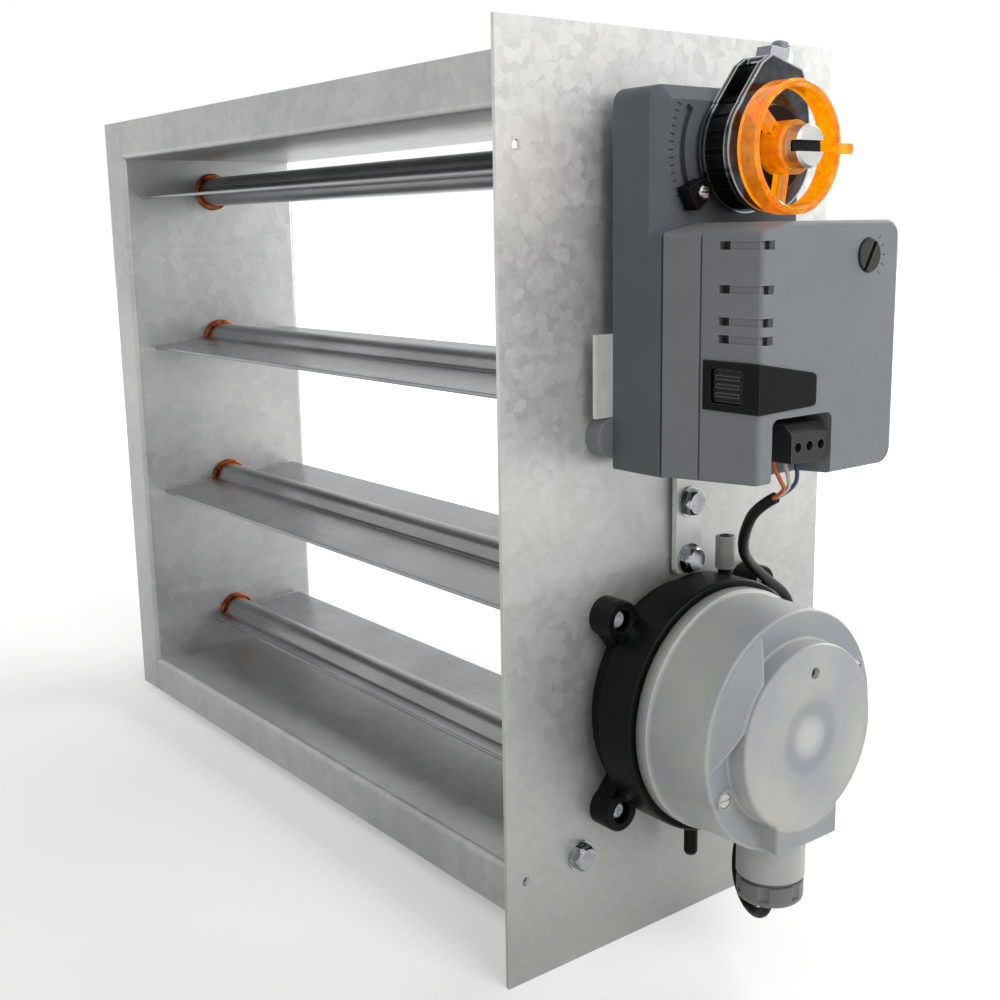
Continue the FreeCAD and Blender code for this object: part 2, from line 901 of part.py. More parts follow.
def knob_pocket():
    return rod_x((actuator_front - knob_depth, actuator_front + 1), knob_y, knob_z, knob_r + knob_fit)


def selector_knob():
    """The round slotted knob that sets the direction of turning."""
    end = actuator_front + knob_proud
    body = rod_x((actuator_front - knob_depth + knob_fit, end), knob_y, knob_z, knob_r)
    rim = edges_near(body, lambda c: abs(c.x - end) < 0.01)
    body = body.makeFillet(0.5, rim)
    half = knob_slot_width / 2
    slot = box(
        (end - 1.6, end + 1), (knob_y - knob_r - 1, knob_y + knob_r + 1), (knob_z - half, knob_z + half)
    )
    return body.cut(turned(slot, Vector(0, knob_y, knob_z), knob_rest_angle))


def hub_place(x):
    """Places a point of the clamp, upright before it is turned, on the plane at x."""
    return lambda u, v: Vector(x, axis_y + u, drive_z + v)


def clamped(shape):
    """Turns a clamp piece from upright to its angle at rest."""
    return turned(shape, Vector(0, axis_y, drive_z), clamp_angle - 90)


def hub_body():
    """The black hub: a collar running in the housing, a disc and the clamp's core."""
    collar = rod_x((hub_collar_back, hub_disc_back), axis_y, drive_z, hub_collar_r)
    disc = rod_x((hub_disc_back, hub_disc_front), axis_y, drive_z, hub_disc_r)
    core = rod_x((hub_disc_front, hub_front), axis_y, drive_z, hub_core_r)
    body = collar.fuse([disc, core]).removeSplitter()
    bore = rod_x((hub_collar_back - 1, hub_front + 1), axis_y, drive_z, shaft_r + clamp_fit)
    tunnel = rod(
        hub_place((yoke_back + yoke_front) / 2)(0, shaft_r),
        hub_place((yoke_back + yoke_front) / 2)(0, hub_core_r + 1),
        stud_r + clamp_fit,
    )
    return body.cut([bore, clamped(tunnel)])


def yoke_outline():
    """The yoke's side plate: rounded below, narrowing in two steps to its top."""
    top = yoke_top
    return [
        (-16.0, 0.0), (-16.0, 10.0), (-10.5, 22.6), (-7.0, top),
        (7.0, top), (10.5, 22.6), (16.0, 10.0), (16.0, 0.0),
    ]


def clamp_yoke():
    """The bent steel yoke: two side plates round the core, joined across the top."""
    plates = []
    for x in (yoke_back, yoke_front - yoke_sheet):
        disc = rod_x((x, x + yoke_sheet), axis_y, drive_z, yoke_r)
        top = prism(
            yoke_outline(), [0.0, 2.0, 2.0, 1.5, 1.5, 2.0, 2.0, 0.0],
            hub_place(x), Vector(yoke_sheet, 0, 0),
        )
        plates.append(disc.fuse(top).removeSplitter())
    bridge = box(
        (yoke_back, yoke_front), (axis_y - 6.8, axis_y + 6.8),
        (drive_z + yoke_top - yoke_sheet, drive_z + yoke_top),
    )
    body = plates[0].fuse([plates[1], bridge]).removeSplitter()
    middle = hub_place((yoke_back + yoke_front) / 2)
    cuts = [
        rod_x((yoke_back - 1, yoke_front + 1), axis_y, drive_z, hub_core_r + clamp_fit),
        rod(middle(0, yoke_top - yoke_sheet - 1), middle(0, yoke_top + 1), stud_r + clamp_fit),
    ]
    return clamped(body.cut(cuts))


def clamp_block():
    """The black block between the yoke's plates, with the stud's guide on top."""
    start = yoke_back + yoke_sheet + clamp_fit
    length = yoke_front - yoke_back - 2 * yoke_sheet - 2 * clamp_fit
    ring = rod_x((start, start + length), axis_y, drive_z, clamp_block_r)
    half = clamp_block_half_width
    lobe = prism(
        rectangle((-half, half), (0.0, yoke_top - yoke_sheet - clamp_fit)),
        [0.0, 0.0, 3.0, 3.0],
        hub_place(start),
        Vector(length, 0, 0),
    )
    body = ring.fuse(lobe).removeSplitter()
    middle = hub_place(start + length / 2)
    notch = math.radians(18)
    cuts = [
        rod_x((start - 1, start + length + 1), axis_y, drive_z, hub_core_r + clamp_fit),
        rod(middle(0, hub_core_r - 1), middle(0, yoke_top), stud_r + clamp_fit),
    ]
    for k in range(3, 18):
        angle = math.pi / 2 + k * notch
        at = hub_place(start - 1)(clamp_block_r * math.cos(angle), clamp_block_r * math.sin(angle))
        cuts.append(rod(at, at + X_AXIS * (length + 2), 0.8))
    return clamped(body.cut(cuts))


def clamp_stud():
    """The threaded stud that pulls the yoke on to the shaft."""
    middle = hub_place((yoke_back + yoke_front) / 2)
    body = rod(middle(0, stud_foot), middle(0, stud_tip), stud_r)
    tip = edges_near(body, lambda c: abs(c.z - drive_z - stud_tip) < 0.01)
    return clamped(body.makeChamfer(0.6, tip))


def clamp_nut():
    """A hexagon nut on the stud, seated on the yoke's bridge."""
    x = (yoke_back + yoke_front) / 2
    z = drive_z + yoke_top
    body = hexagon(nut_across_flats, lambda u, v: Vector(x + u, axis_y + v, z), Z_AXIS * nut_height)
    bore = rod(Vector(x, axis_y, z - 1), Vector(x, axis_y, z + nut_height + 1), stud_r + clamp_fit)
    return clamped(body.cut(bore))


def indicator_ring():
    """The translucent ring on the hub's front, with spokes, a boss and a pointer."""
    ring = rod_x((ring_back, ring_front), axis_y, drive_z, ring_r)
    ring = ring.cut(rod_x((ring_back - 1, ring_front + 1), axis_y, drive_z, ring_r - ring_wall))
    inside = edges_near(ring, lambda c: abs(c.x - ring_front) < 0.01)
    ring = ring.makeChamfer(0.7, inside)
    boss = rod_x((hub_front, ring_front - 1.5), axis_y, drive_z, ring_boss_r)
    pieces = [boss]
    for angle in (140, 260, 20):
        spoke = box(
            (ring_back, ring_back + ring_spoke_thickness),
            (axis_y + ring_boss_r - 1, axis_y + ring_r - ring_wall / 2),
            (drive_z - ring_spoke_width / 2, drive_z + ring_spoke_width / 2),
        )
        pieces.append(turned(spoke, Vector(0, axis_y, drive_z), angle))
    half = ring_pointer_width / 2
    pointer = prism(
        [
            (axis_y + ring_r - ring_wall / 2, drive_z - half),
            (axis_y + ring_pointer_r, drive_z - half),
            (axis_y + ring_pointer_r, drive_z + half),
            (axis_y + ring_r - ring_wall / 2, drive_z + half),
        ],
        [0.0, 1.2, 1.2, 0.0],
        on_yz(ring_front - 4.5),
        Vector(3.0, 0, 0),
    )
    pieces.append(pointer)
    body = ring.fuse(pieces).removeSplitter()
    return body.cut(rod_x((hub_front - 1, ring_front + 1), axis_y, drive_z, shaft_r + clamp_fit))


def stop_place(angle, radius):
    return (
        axis_y + radius * math.cos(math.radians(angle)),
        drive_z + radius * math.sin(math.radians(angle)),
    )


def end_stop(angle):
    """A black stop on the arc groove, with a tongue down into the groove."""
    x = actuator_neck_face + stop_gap
    corners = []
    for radius, side in ((stop_inner_r, -1), (stop_outer_r, -1), (stop_outer_r, 1), (stop_inner_r, 1)):
        corners.append(stop_place(angle + side * stop_half_angle, radius))
    body = prism(corners, 0.8, on_yz(x), Vector(stop_thickness, 0, 0))
    y, z = stop_place(angle, groove_r)
    tongue_r = groove_width / 2 - stop_gap / 2
    tongue = rod_x((actuator_neck_face - groove_depth + stop_gap, x), y, z, tongue_r)
    hole = rod_x((x + stop_thickness - 2, x + stop_thickness + 1), y, z, 1.0)
    return body.fuse(tongue).cut(hole)


def end_stop_screw(angle):
    """The small screw in an end stop."""
    y, z = stop_place(angle, groove_r)
    top = actuator_neck_face + stop_gap + stop_thickness
    stem = rod_x((top - 2, top), y, z, 1.0)
    head = rod_x((top, top + stop_screw_head), y, z, stop_screw_r)
    rim = edges_near(head, lambda c: abs(c.x - top - stop_screw_head) < 0.01)
    head = head.makeFillet(0.6, rim)
    slot = box((top + 0.7, top + 3), (y - 3, y + 3), (z - 0.35, z + 0.35))
    return stem.fuse(head).cut(slot)


def offset_bracket():
    """A stepped sheet bracket between the plate and the actuator's back."""
    front = actuator_standoff
    low_y, high_y = offset_bracket_y
    path = [(0.0, high_y), (0.0, high_y - 14.0), (front - offset_bracket_sheet, high_y - 20.0),
            (front - offset_bracket_sheet, low_y)]
    points, radii = sheet_profile(path, offset_bracket_sheet, 0.6)
    height = offset_bracket_z[1] - offset_bracket_z[0]
    return prism(points, radii, on_xy(offset_bracket_z[0]), Z_AXIS * height)


def anti_rotation_strap():
    """The narrow steel strap that keeps the actuator from turning with the shaft."""
    x = strap_standoff
    half = strap_width / 2
    outline = rectangle((strap_centre_y - half, strap_centre_y + half), strap_z)
    body = prism(outline, 2.0, on_yz(x), Vector(strap_sheet, 0, 0))
    holes = [rod_x((x - 1, x + 4), strap_centre_y, z, bolt_shank_r) for z in strap_bolt_z]
    return body.cut(holes)


def strap_bolts():
    """Two screws through the strap, each with a spacer under it."""
    pieces = []
    for z in strap_bolt_z:
        screw = washer_screw(
            strap_standoff + strap_sheet, strap_centre_y, z, strap_standoff + strap_sheet + 5
        )
        spacer = rod_x((0, strap_standoff), strap_centre_y, z, 4.5)
        pieces.append(screw.fuse(spacer).removeSplitter())
    return Part.makeCompound(pieces)


def bumper():
    """A round rubber pad between the plate and the actuator's lower corner."""
    body = rod_x((0, actuator_standoff), bumper_y, bumper_z, bumper_r)
    return body.makeFillet(0.8, edges_near(body, lambda c: c.x > actuator_standoff - 0.1))


def plate_screws():
    return Part.makeCompound([washer_screw(0, y, z, 8.0) for y, z in plate_screw_places()])


def switch_base():
    """The black base: a foot, a wider rim, four ears with deep bosses, and two hose nipples."""
    centre = Vector(0, switch_y, switch_z)
    height = switch_base_height
    back = Part.makeCylinder(switch_base_back_r, switch_base_rim_x, centre, X_AXIS)
    drum = rod_x((switch_base_rim_x, height), switch_y, switch_z, switch_base_r)
    rim = edges_near(drum, lambda c: abs(c.x - height) < 0.01)
    drum = drum.makeFillet(1.0, rim)
    body = back.fuse(drum).removeSplitter()
    cuts = []
    for y, z in switch_ear_places():
        boss = rod_x((0, switch_ear_height), y, z, switch_ear_r)
        boss = boss.makeFillet(0.8, edges_near(boss, lambda c: c.x > switch_ear_height - 0.1))
        away = Vector(0, y - switch_y, z - switch_z).normalize()
        across = Vector(0, -away.z, away.y) * (switch_ear_r * 0.92)
        root = centre + away * (switch_base_back_r - 8)
        tip = Vector(0, y, z)
        web = Part.Face(Part.makePolygon([
            root - across * 1.3, tip - across, tip + across, root + across * 1.3, root - across * 1.3
        ])).extrude(Vector(switch_ear_height - 2.0, 0, 0))
        body = body.fuse([boss, web])
        cuts.append(rod_x((-1, switch_ear_height + 1), y, z, ear_screw_hole_r))
        floor = switch_ear_height - ear_counterbore_depth
        cuts.append(rod_x((floor, switch_ear_height + 1), y, z, ear_counterbore_r))
    for side, offset in zip((-1, 1), nipple_offsets):
        y = switch_y + offset
        inner = math.sqrt(switch_base_r ** 2 - offset ** 2) - 4
        outer = math.sqrt(switch_base_r ** 2 - offset ** 2) + nipple_length
        start = Vector(nipple_x, y, switch_z + side * inner)
        shoulder = Vector(nipple_x, y, switch_z + side * (outer - nipple_taper))
        end = Vector(nipple_x, y, switch_z + side * outer)
        stem = rod(start, shoulder, nipple_r)
        tip = Part.makeCone(nipple_r, nipple_r - 0.5, nipple_taper, shoulder, Z_AXIS * side)
        body = body.fuse([stem, tip])
        cuts.append(rod(end - Z_AXIS * (side * 11), end + Z_AXIS * side, nipple_bore_r))
    return body.cut(cuts).removeSplitter()


def ear_screws():
    """Pan-head screws through the ears into the plate."""
    screws = []
    floor = switch_ear_height - ear_counterbore_depth
    for y, z in switch_ear_places():
        stem = rod_x((plate_back, floor), y, z, ear_screw_hole_r)
        head = rod_x((floor, floor + 2.2), y, z, ear_screw_head_r)
        top = floor + 2.2
        head = head.makeFillet(0.9, edges_near(head, lambda c: abs(c.x - top) < 0.01))
        cross = [
            box((top - 1.1, top + 1), (y - 1.6, y + 1.6), (z - 0.35, z + 0.35)),
            box((top - 1.1, top + 1), (y - 0.35, y + 0.35), (z - 1.6, z + 1.6)),
        ]
        screws.append(stem.fuse(head).cut(cross))
    return Part.makeCompound(screws)


def diaphragm_housing():
    """The stepped inner housing with the switch element on top, behind the cover."""
    start = switch_base_height
    wide = rod_x((start, housing_step_x), switch_y, switch_z, housing_r)
    step = rod_x((housing_step_x, housing_top_x), switch_y, switch_z, housing_step_r)
    element = box(
        (housing_top_x, housing_top_x + 9.0), (switch_y - 14, switch_y + 14),
        (switch_z - 27, switch_z - 15),
    )
    body = wide.fuse([step, element]).removeSplitter()
    seat = rod_x((start - 1, housing_top_x + 1), dial_y, switch_z, dial_core_r + dial_gap)
    posts = [
        rod_x((start - 1, housing_top_x + 1), y, z, cover_post_r + 1.0)
        for y, z in cover_screw_places()
    ]
    return body.cut([seat] + posts)


def setting_dial():
    """The round knob that sets the switching pressure."""
    foot = rod_x((housing_top_x - 8.0, housing_top_x + dial_gap), dial_y, switch_z, dial_core_r)
    knob = rod_x((housing_top_x + dial_gap, dial_top_x), dial_y, switch_z, dial_r)
    knob = knob.makeFillet(1.2, edges_near(knob, lambda c: c.x > dial_top_x - 0.1))
    slot = box(
        (dial_top_x - 1.5, dial_top_x + 1), (dial_y - dial_r - 1, dial_y + dial_r + 1),
        (switch_z - 1.0, switch_z + 1.0),
    )
    return foot.fuse(knob).cut(slot).removeSplitter()


def cover_profile(inset):
    """Half section of the switch cover, from its open back to its front face."""
    return [
        (switch_base_height, 0.0),
        (switch_base_height, cover_lip_r - inset),
        (cover_lip_end - inset, cover_lip_r - inset),
        (cover_lip_end - inset, cover_r - inset),
        (cover_shoulder_x - inset, cover_shoulder_r - inset),
        (cover_shoulder_x - inset, cover_disc_r - inset),
        (cover_front - inset, cover_disc_r - inset),
        (cover_front - inset, 0.0),
    ]


def revolved(profile, radii):
    """A profile of (x, radius) points turned about the switch's own axis."""
    if not isinstance(radii, list):
        radii = [radii] * len(profile)
    face = Part.Face(rounded_wire(profile, radii, lambda u, v: Vector(u, switch_y + v, switch_z)))
    return face.revolve(Vector(0, switch_y, switch_z), X_AXIS, 360)


def cover_screw_places():
    return [
        (
            switch_y + cover_screw_radius * math.cos(math.radians(a)),
            switch_z + cover_screw_radius * math.sin(math.radians(a)),
        )
        for a in cover_screw_angles
    ]


def cover_lobe():
    """One of the two sloped lobes that stand on the cover's shoulder, beside its disc."""
    foot_x = cover_shoulder_x - cover_lobe_root
    cone = Part.makeCone(
        cover_lobe_r, cover_disc_r - 1.0, cover_lobe_front - foot_x,
        Vector(foot_x, switch_y, switch_z), X_AXIS,
    )
    upper, next_in, low_in, lower = [Vector(u, v, 0) for u, v in cover_lobe_points]
    start = upper + (upper - next_in) * 0.5
    end = lower + (lower - low_in) * 0.5
    far = -1.6 * cover_r
    corners = [start, next_in, low_in, end, Vector(far, end.y, 0), Vector(far, start.y, 0)]
    outline = [(switch_y + c.x, switch_z + c.y) for c in corners]
    slab = prism(outline, 0.0, on_yz(foot_x), Vector(cover_r, 0, 0))
    return cone.common(slab)


def cover_hood():
    """The square hood over the gland, flush with the disc."""
    low = hood_bottom
    high = switch_z - cover_disc_r / 2
    outline = rectangle((switch_y - hood_half_width, switch_y + hood_half_width), (low, high))
    hood = prism(outline, 0.0, on_yz(hood_back), Vector(cover_front - hood_back, 0, 0))
    edges = edges_near(
        hood,
        lambda c: c.x > hood_back + 1 and c.z < high - 1 and abs(c.y - switch_y) > 1
        and (c.x < cover_front - 1 or c.z > low + 1),
    )
    return hood.makeFillet(hood_edge_r, edges)


def switch_cover():
    """The frosted cover: a stepped shell, two lobes, the hood and the gland's neck."""
    outer = revolved(cover_profile(0.0), [0.0, 0.8, 0.8, 1.2, 1.0, 0.8, 1.0, 0.0])
    inner = revolved(cover_profile(cover_wall), 0.0)
    inner_start = rod_x(
        (switch_base_height - 1, cover_lip_end), switch_y, switch_z, cover_r - cover_wall
    )
    neck_top = switch_z - cover_r + 9.0
    neck = rod(
        Vector(gland_x, switch_y, neck_top), Vector(gland_x, switch_y, gland_neck_end), gland_neck_r
    )
    lobe = cover_lobe()
    centre = Vector(0, switch_y, switch_z)
    body = outer.fuse([lobe, turned(lobe, centre, 180), cover_hood(), neck])
    body = body.cut([inner, inner_start])
    floor = cover_shoulder_x + cover_post_rise
    posts = [
        rod_x((housing_step_x, floor), y, z, cover_post_r) for y, z in cover_screw_places()
    ]
    body = body.fuse(posts)
    cuts = [
        rod(
            Vector(gland_x, switch_y, neck_top + 4), Vector(gland_x, switch_y, gland_neck_end - 1),
            gland_body_r,
        ),
        rod_x(
            (cover_front - cover_wall - 1, cover_front + 1),
            switch_y + cover_peep_y, switch_z + cover_peep_z, cover_peep_hole_r,
        ),
    ]
    for y, z in cover_screw_places():
        cuts.append(rod_x((floor - 2.0, cover_front + 1), y, z, cover_screw_r + 0.3))
        cuts.append(rod_x((floor - 12, floor), y, z, 1.5))
    return body.cut(cuts).removeSplitter()


def cover_screws():
    """The screws that hold the cover, sunk in their posts."""
    screws = []
    floor = cover_shoulder_x + cover_post_rise
    for y, z in cover_screw_places():
        stem = rod_x((floor - 11.5, floor - 2.0), y, z, 1.5)
        head = rod_x((floor - 2.0, floor - 0.3), y, z, cover_screw_r)
        slot = box((floor - 0.9, floor + 1), (y - 3, y + 3), (z - 0.35, z + 0.35))
        screws.append(stem.fuse(head).cut(slot))
    return Part.makeCompound(screws)


def gland_body():
    """The gland's threaded insert in the neck, with a flange under it."""
    top = gland_neck_end + 9.0
    column = rod(
        Vector(gland_x, switch_y, top), Vector(gland_x, switch_y, gland_nut_end + 2.0),
        gland_body_r,
    )
    flange = rod(
        Vector(gland_x, switch_y, gland_neck_end), Vector(gland_x, switch_y, gland_nut_top),
        gland_flange_r - 1.2,
    )
    bore = rod(
        Vector(gland_x, switch_y, top + 1), Vector(gland_x, switch_y, gland_nut_end),
        cable_r,
    )
    return column.fuse(flange).cut(bore).removeSplitter()


def gland_nut():
    """The domed sealing nut, with flats for a spanner."""
    top = Vector(gland_x, switch_y, gland_nut_top)
    length = gland_nut_top - gland_nut_end
    body = Part.makeCylinder(gland_nut_r, length, top, Z_AXIS * -1)
    end_rim = edges_near(body, lambda c: abs(c.z - gland_nut_end) < 0.01)
    body = body.makeFillet(2.0, end_rim)
    cuts = []
    for k in range(gland_nut_flutes):
        angle = 2 * math.pi * k / gland_nut_flutes
        at = top + Vector(math.cos(angle), math.sin(angle), 0) * (gland_nut_r + 2.2)
        cuts.append(Part.makeCylinder(3.0, length - 2.4, at, Z_AXIS * -1))
    hollow = Part.makeCylinder(gland_body_r, length - 2.0, top, Z_AXIS * -1)
    bore = Part.makeCylinder(cable_r, length + 2, top + Z_AXIS, Z_AXIS * -1)
    return body.cut(cuts + [hollow, bore])


def smooth_path(points):
    """Straight runs joined by tangent arcs, each as large as its two runs allow."""
    points = [Vector(*p) for p in points]
    edges = []
    radii = []
    at = points[0]
    for before, corner, after in zip(points, points[1:], points[2:]):
        run_in = corner - before
        run_out = after - corner
        turn = run_in.getAngle(run_out)
        reach = cable_arc_share * min(run_in.Length, run_out.Length)
        radius = reach / math.tan(turn / 2)
        start = corner - run_in.normalize() * reach
        end = corner + run_out.normalize() * reach
        bisector = (run_out - run_in).normalize()
        centre = corner + bisector * (radius / math.cos(turn / 2))
        middle = centre - bisector * radius
        edges.append(Part.LineSegment(at, start).toShape())
        edges.append(Part.Arc(start, middle, end).toShape())
        radii.append(radius)
        at = end
    edges.append(Part.LineSegment(at, points[-1]).toShape())
    return Part.Wire(edges), radii


def tube(points, radius):
    """A round solid along a smooth path."""
    path, radii = smooth_path(points)
    start = Vector(*points[0])
    heading = (Vector(*points[1]) - start).normalize()
    section = Part.Wire([Part.Circle(start, heading, radius).toShape()])
    shape = path.makePipeShell([section], True, True)
    length = path.Length
    expected = math.pi * radius ** 2 * length
    print("path", round(length, 1), "radii", [round(r, 1) for r in radii],
          "volume share", round(shape.Volume / expected, 4))
    return shape


def control_cable():
    return tube(cable_route, cable_r)


def control_cores():
    """The three cores between the cable's cut sheath and the terminal block."""
    end = Vector(*cable_route[-1])
    heading = (end - Vector(*cable_route[-2])).normalize()
    side = heading.cross(Z_AXIS).normalize()
    front = actuator_front - 0.6 - terminal_core_setback
    cores = []
    for k in range(terminal_poles):
        start = end + side * ((1 - k) * (cable_r - core_r))
        y = terminal_first_y + terminal_pitch * k
        points = [
            start,
            start + heading * core_first_run,
            Vector(core_bend[0] + k * 0.8, (start.y + y) / 2, core_bend[1]),
            Vector(front, y, terminal_bottom_z - 1.5),
            Vector(front, y, terminal_bottom_z + 1.9),
        ]
        cores.append(tube([tuple(p) for p in points], core_r))
    return Part.makeCompound(cores)


os.makedirs("parts", exist_ok=True)

save("mounting_plate", mounting_plate())
save("plate_screws", plate_screws())
save("near_jamb", jamb(right_web, plate_back))
save("far_jamb", jamb(left_web, left_edge))
save("head_channel", cross_channel(1))
save("sill_channel", cross_channel(-1))
save("near_bushes", bushes(right_web, 1))
save("far_bushes", bushes(left_web, -1))
for number in range(blade_count):
    suffix = "_" + str(number + 1)
    save("blade" + suffix, blade(number))
    save("blade_shaft" + suffix, blade_shaft(number))
    save("crank" + suffix, crank(number))
    save("set_screw" + suffix, set_screw(number))
    save("link_pin" + suffix, link_pin(number))
save("tie_bar", tie_bar())
save("actuator_base", actuator_base())
save("actuator_cover", actuator_cover())
save("release_surround", release_surround())
save("release_button", release_button())
save("terminal_block", terminal_block())
save("selector_knob", selector_knob())
save("hub_body", hub_body())
save("clamp_yoke", clamp_yoke())
save("clamp_block", clamp_block())
save("clamp_stud", clamp_stud())
save("clamp_nut", clamp_nut())
save("indicator_ring", indicator_ring())
for side_name, stop_angle in zip(("left", "right"), stop_angles):
    save("end_stop_" + side_name, end_stop(stop_angle))
    save("end_stop_screw_" + side_name, end_stop_screw(stop_angle))
save("offset_bracket", offset_bracket())
save("anti_rotation_strap", anti_rotation_strap())
save("strap_bolts", strap_bolts())
save("bumper", bumper())
save("switch_base", switch_base())
save("ear_screws", ear_screws())
save("diaphragm_housing", diaphragm_housing())
save("setting_dial", setting_dial())
save("switch_cover", switch_cover())
save("cover_screws", cover_screws())
save("gland_body", gland_body())
save("gland_nut", gland_nut())
save("control_cable", control_cable())
save("control_cores", control_cores())
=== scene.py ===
"""Bypass damper: looks, cords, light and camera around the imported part. Metres, in the part's frame."""
import math
import bmesh
import bpy
import numpy as np
from mathutils import Matrix, Vector


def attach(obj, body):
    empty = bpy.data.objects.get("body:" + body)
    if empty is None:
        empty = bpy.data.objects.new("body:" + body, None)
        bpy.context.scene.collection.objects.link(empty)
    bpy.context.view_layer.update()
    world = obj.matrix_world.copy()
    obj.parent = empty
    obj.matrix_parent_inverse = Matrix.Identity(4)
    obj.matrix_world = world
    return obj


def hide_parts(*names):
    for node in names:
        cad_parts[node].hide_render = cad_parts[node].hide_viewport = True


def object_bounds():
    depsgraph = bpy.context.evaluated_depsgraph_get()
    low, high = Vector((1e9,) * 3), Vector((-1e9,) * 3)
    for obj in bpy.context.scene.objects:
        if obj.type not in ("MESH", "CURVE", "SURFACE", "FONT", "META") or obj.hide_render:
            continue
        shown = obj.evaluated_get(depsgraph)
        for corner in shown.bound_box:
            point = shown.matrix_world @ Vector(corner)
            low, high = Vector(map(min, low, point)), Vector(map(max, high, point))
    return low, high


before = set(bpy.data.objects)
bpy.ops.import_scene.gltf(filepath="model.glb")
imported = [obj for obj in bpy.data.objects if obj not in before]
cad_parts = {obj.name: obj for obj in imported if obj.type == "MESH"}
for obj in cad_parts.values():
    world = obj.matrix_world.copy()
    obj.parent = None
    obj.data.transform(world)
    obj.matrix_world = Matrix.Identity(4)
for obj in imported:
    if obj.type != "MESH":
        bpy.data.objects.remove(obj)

cad_low, cad_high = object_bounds()


# Camera. It stands to the front right of the damper, a little above its middle, and its
# lens and shift give the photograph's square frame.
camera_place = (0.3035, -0.3119, 0.09185)
camera_right = (0.61019754, 0.79205349, -0.01761333)
camera_up = (-0.14516945, 0.13363882, 0.98033999)
camera_back = (0.77883554, -0.59564413, 0.19652805)
camera_data = bpy.data.cameras.new("camera")
camera_data.sensor_width = 36.0
camera_data.lens = 46.685
camera_data.shift_x = 0.0113
camera_data.shift_y = -0.0091
camera_data.clip_start = 0.01
camera_data.clip_end = 50.0
camera = bpy.data.objects.new("camera", camera_data)
bpy.context.scene.collection.objects.link(camera)
turn = Matrix((camera_right, camera_up, camera_back)).transposed().to_4x4()
camera.matrix_world = Matrix.Translation(camera_place) @ turn
bpy.context.scene.camera = camera
bpy.context.scene.view_settings.view_transform = "Standard"


# Control cable and its three cores. A black flexible cable leaves the gland, loops up behind
# the pressure switch and ends under the actuator, where its cores go up into the terminals.
# Each is one smooth curve through its route, and the cable's rubber skin has a fine grain.
cable_r = 0.0018
cable_route = (
    (0.0440, 0.0010, -0.1195), (0.0440, 0.0010, -0.1305), (0.0374, 0.0036, -0.1376),
    (0.0281, 0.0073, -0.1376), (0.0215, 0.0099, -0.1305), (0.0186, 0.0140, -0.1210),
    (0.0154, 0.0230, -0.1136), (0.0130, 0.0344, -0.1084), (0.0116, 0.0452, -0.1026),
    (0.0096, 0.0508, -0.0920), (0.0090, 0.0526, -0.0780), (0.0090, 0.0530, -0.0630),
    (0.0094, 0.0514, -0.0488), (0.0106, 0.0464, -0.0382), (0.0136, 0.0315, -0.0293),
    (0.0180, 0.0166, -0.0198), (0.0270, 0.0033, -0.0110), (0.0355, -0.0050, -0.0018),
    (0.0435, -0.0095, 0.0068), (0.0505, -0.0090, 0.0110),
)
core_r = 0.00065
core_colours = {
    "core_orange": (206, 96, 38),
    "core_white": (214, 210, 202),
    "core_blue": (46, 66, 104),
}
core_routes = (
    ((0.05058, -0.01015, 0.0110), (0.05520, -0.00982, 0.01377), (0.0560, -0.01352, 0.0176),
     (0.0558, -0.01690, 0.0229), (0.0558, -0.01690, 0.0263)),
    ((0.05050, -0.00900, 0.0110), (0.05512, -0.00867, 0.01377), (0.0568, -0.01041, 0.0176),
     (0.0558, -0.01182, 0.0229), (0.0558, -0.01182, 0.0263)),
    ((0.05042, -0.00785, 0.0110), (0.05504, -0.00752, 0.01377), (0.0576, -0.00730, 0.0176),
     (0.0558, -0.00674, 0.0229), (0.0558, -0.00674, 0.0263)),
)


def smooth_cord(name, route, radius):
    """A round cord: one quadratic NURBS line that starts and ends on its first and last point."""
    curve = bpy.data.curves.new(name, "CURVE")
    curve.dimensions = "3D"
    line = curve.splines.new("NURBS")
    line.points.add(len(route) - 1)
    line.points.foreach_set("co", np.column_stack((route, np.ones(len(route)))).ravel())
    line.order_u = 3
    line.use_endpoint_u = True
    line.resolution_u = 12
    curve.bevel_depth = radius
    curve.bevel_resolution = 5
    curve.use_fill_caps = True
    piece = bpy.data.objects.new(name, curve)
    bpy.context.scene.collection.objects.link(piece)
    return piece


def linear(red, green, blue):
    """Colour from its 0 to 255 screen values, as the shader's light values."""
    screen = np.array((red, green, blue)) / 255
    light = np.where(screen <= 0.04045, screen / 12.92, ((screen + 0.055) / 1.055) ** 2.4)
    return (*light.tolist(), 1.0)


def add(tree, kind, sockets=None, **settings):
    """One shader node: its settings, and for each named input a plain value or a link."""
    node = tree.nodes.new("ShaderNode" + kind)
    for key, value in settings.items():
        setattr(node, key, value)
    for key, value in (sockets or {}).items():
        if isinstance(value, bpy.types.NodeSocket):
            tree.links.new(value, node.inputs[key])
        else:
            node.inputs[key].default_value = value
    return node


def maths(tree, operation, *values):
    """The outcome of one sum on two or three values."""
    return add(tree, "Math", dict(enumerate(values)), operation=operation).outputs[0]


def blend_colour(tree, share, first, second):
    """A colour that goes from first to second as share goes from 0 to 1. The mixing node's
    colours are its inputs 6 and 7 and its output 2."""
    mix = add(tree, "Mix", {"Factor": share, 6: first, 7: second}, data_type="RGBA")
    return mix.outputs[2]


def spread(tree, value, low, high, start=0.0, end=1.0):
    """value carried from the range start..end to low..high, and held there."""
    return add(tree, "MapRange", {"Value": value, "From Min": start, "From Max": end,
                                  "To Min": low, "To Max": high}).outputs[0]


def rise(tree, value, start, end, share=1.0):
    """0 up to start and share from end on, with a straight slope between them."""
    return spread(tree, value, 0.0, share, start, end)


def fall(tree, value, start, end, share=1.0):
    """share up to start and 0 from end on, with a straight slope between them."""
    return spread(tree, value, share, 0.0, start, end)


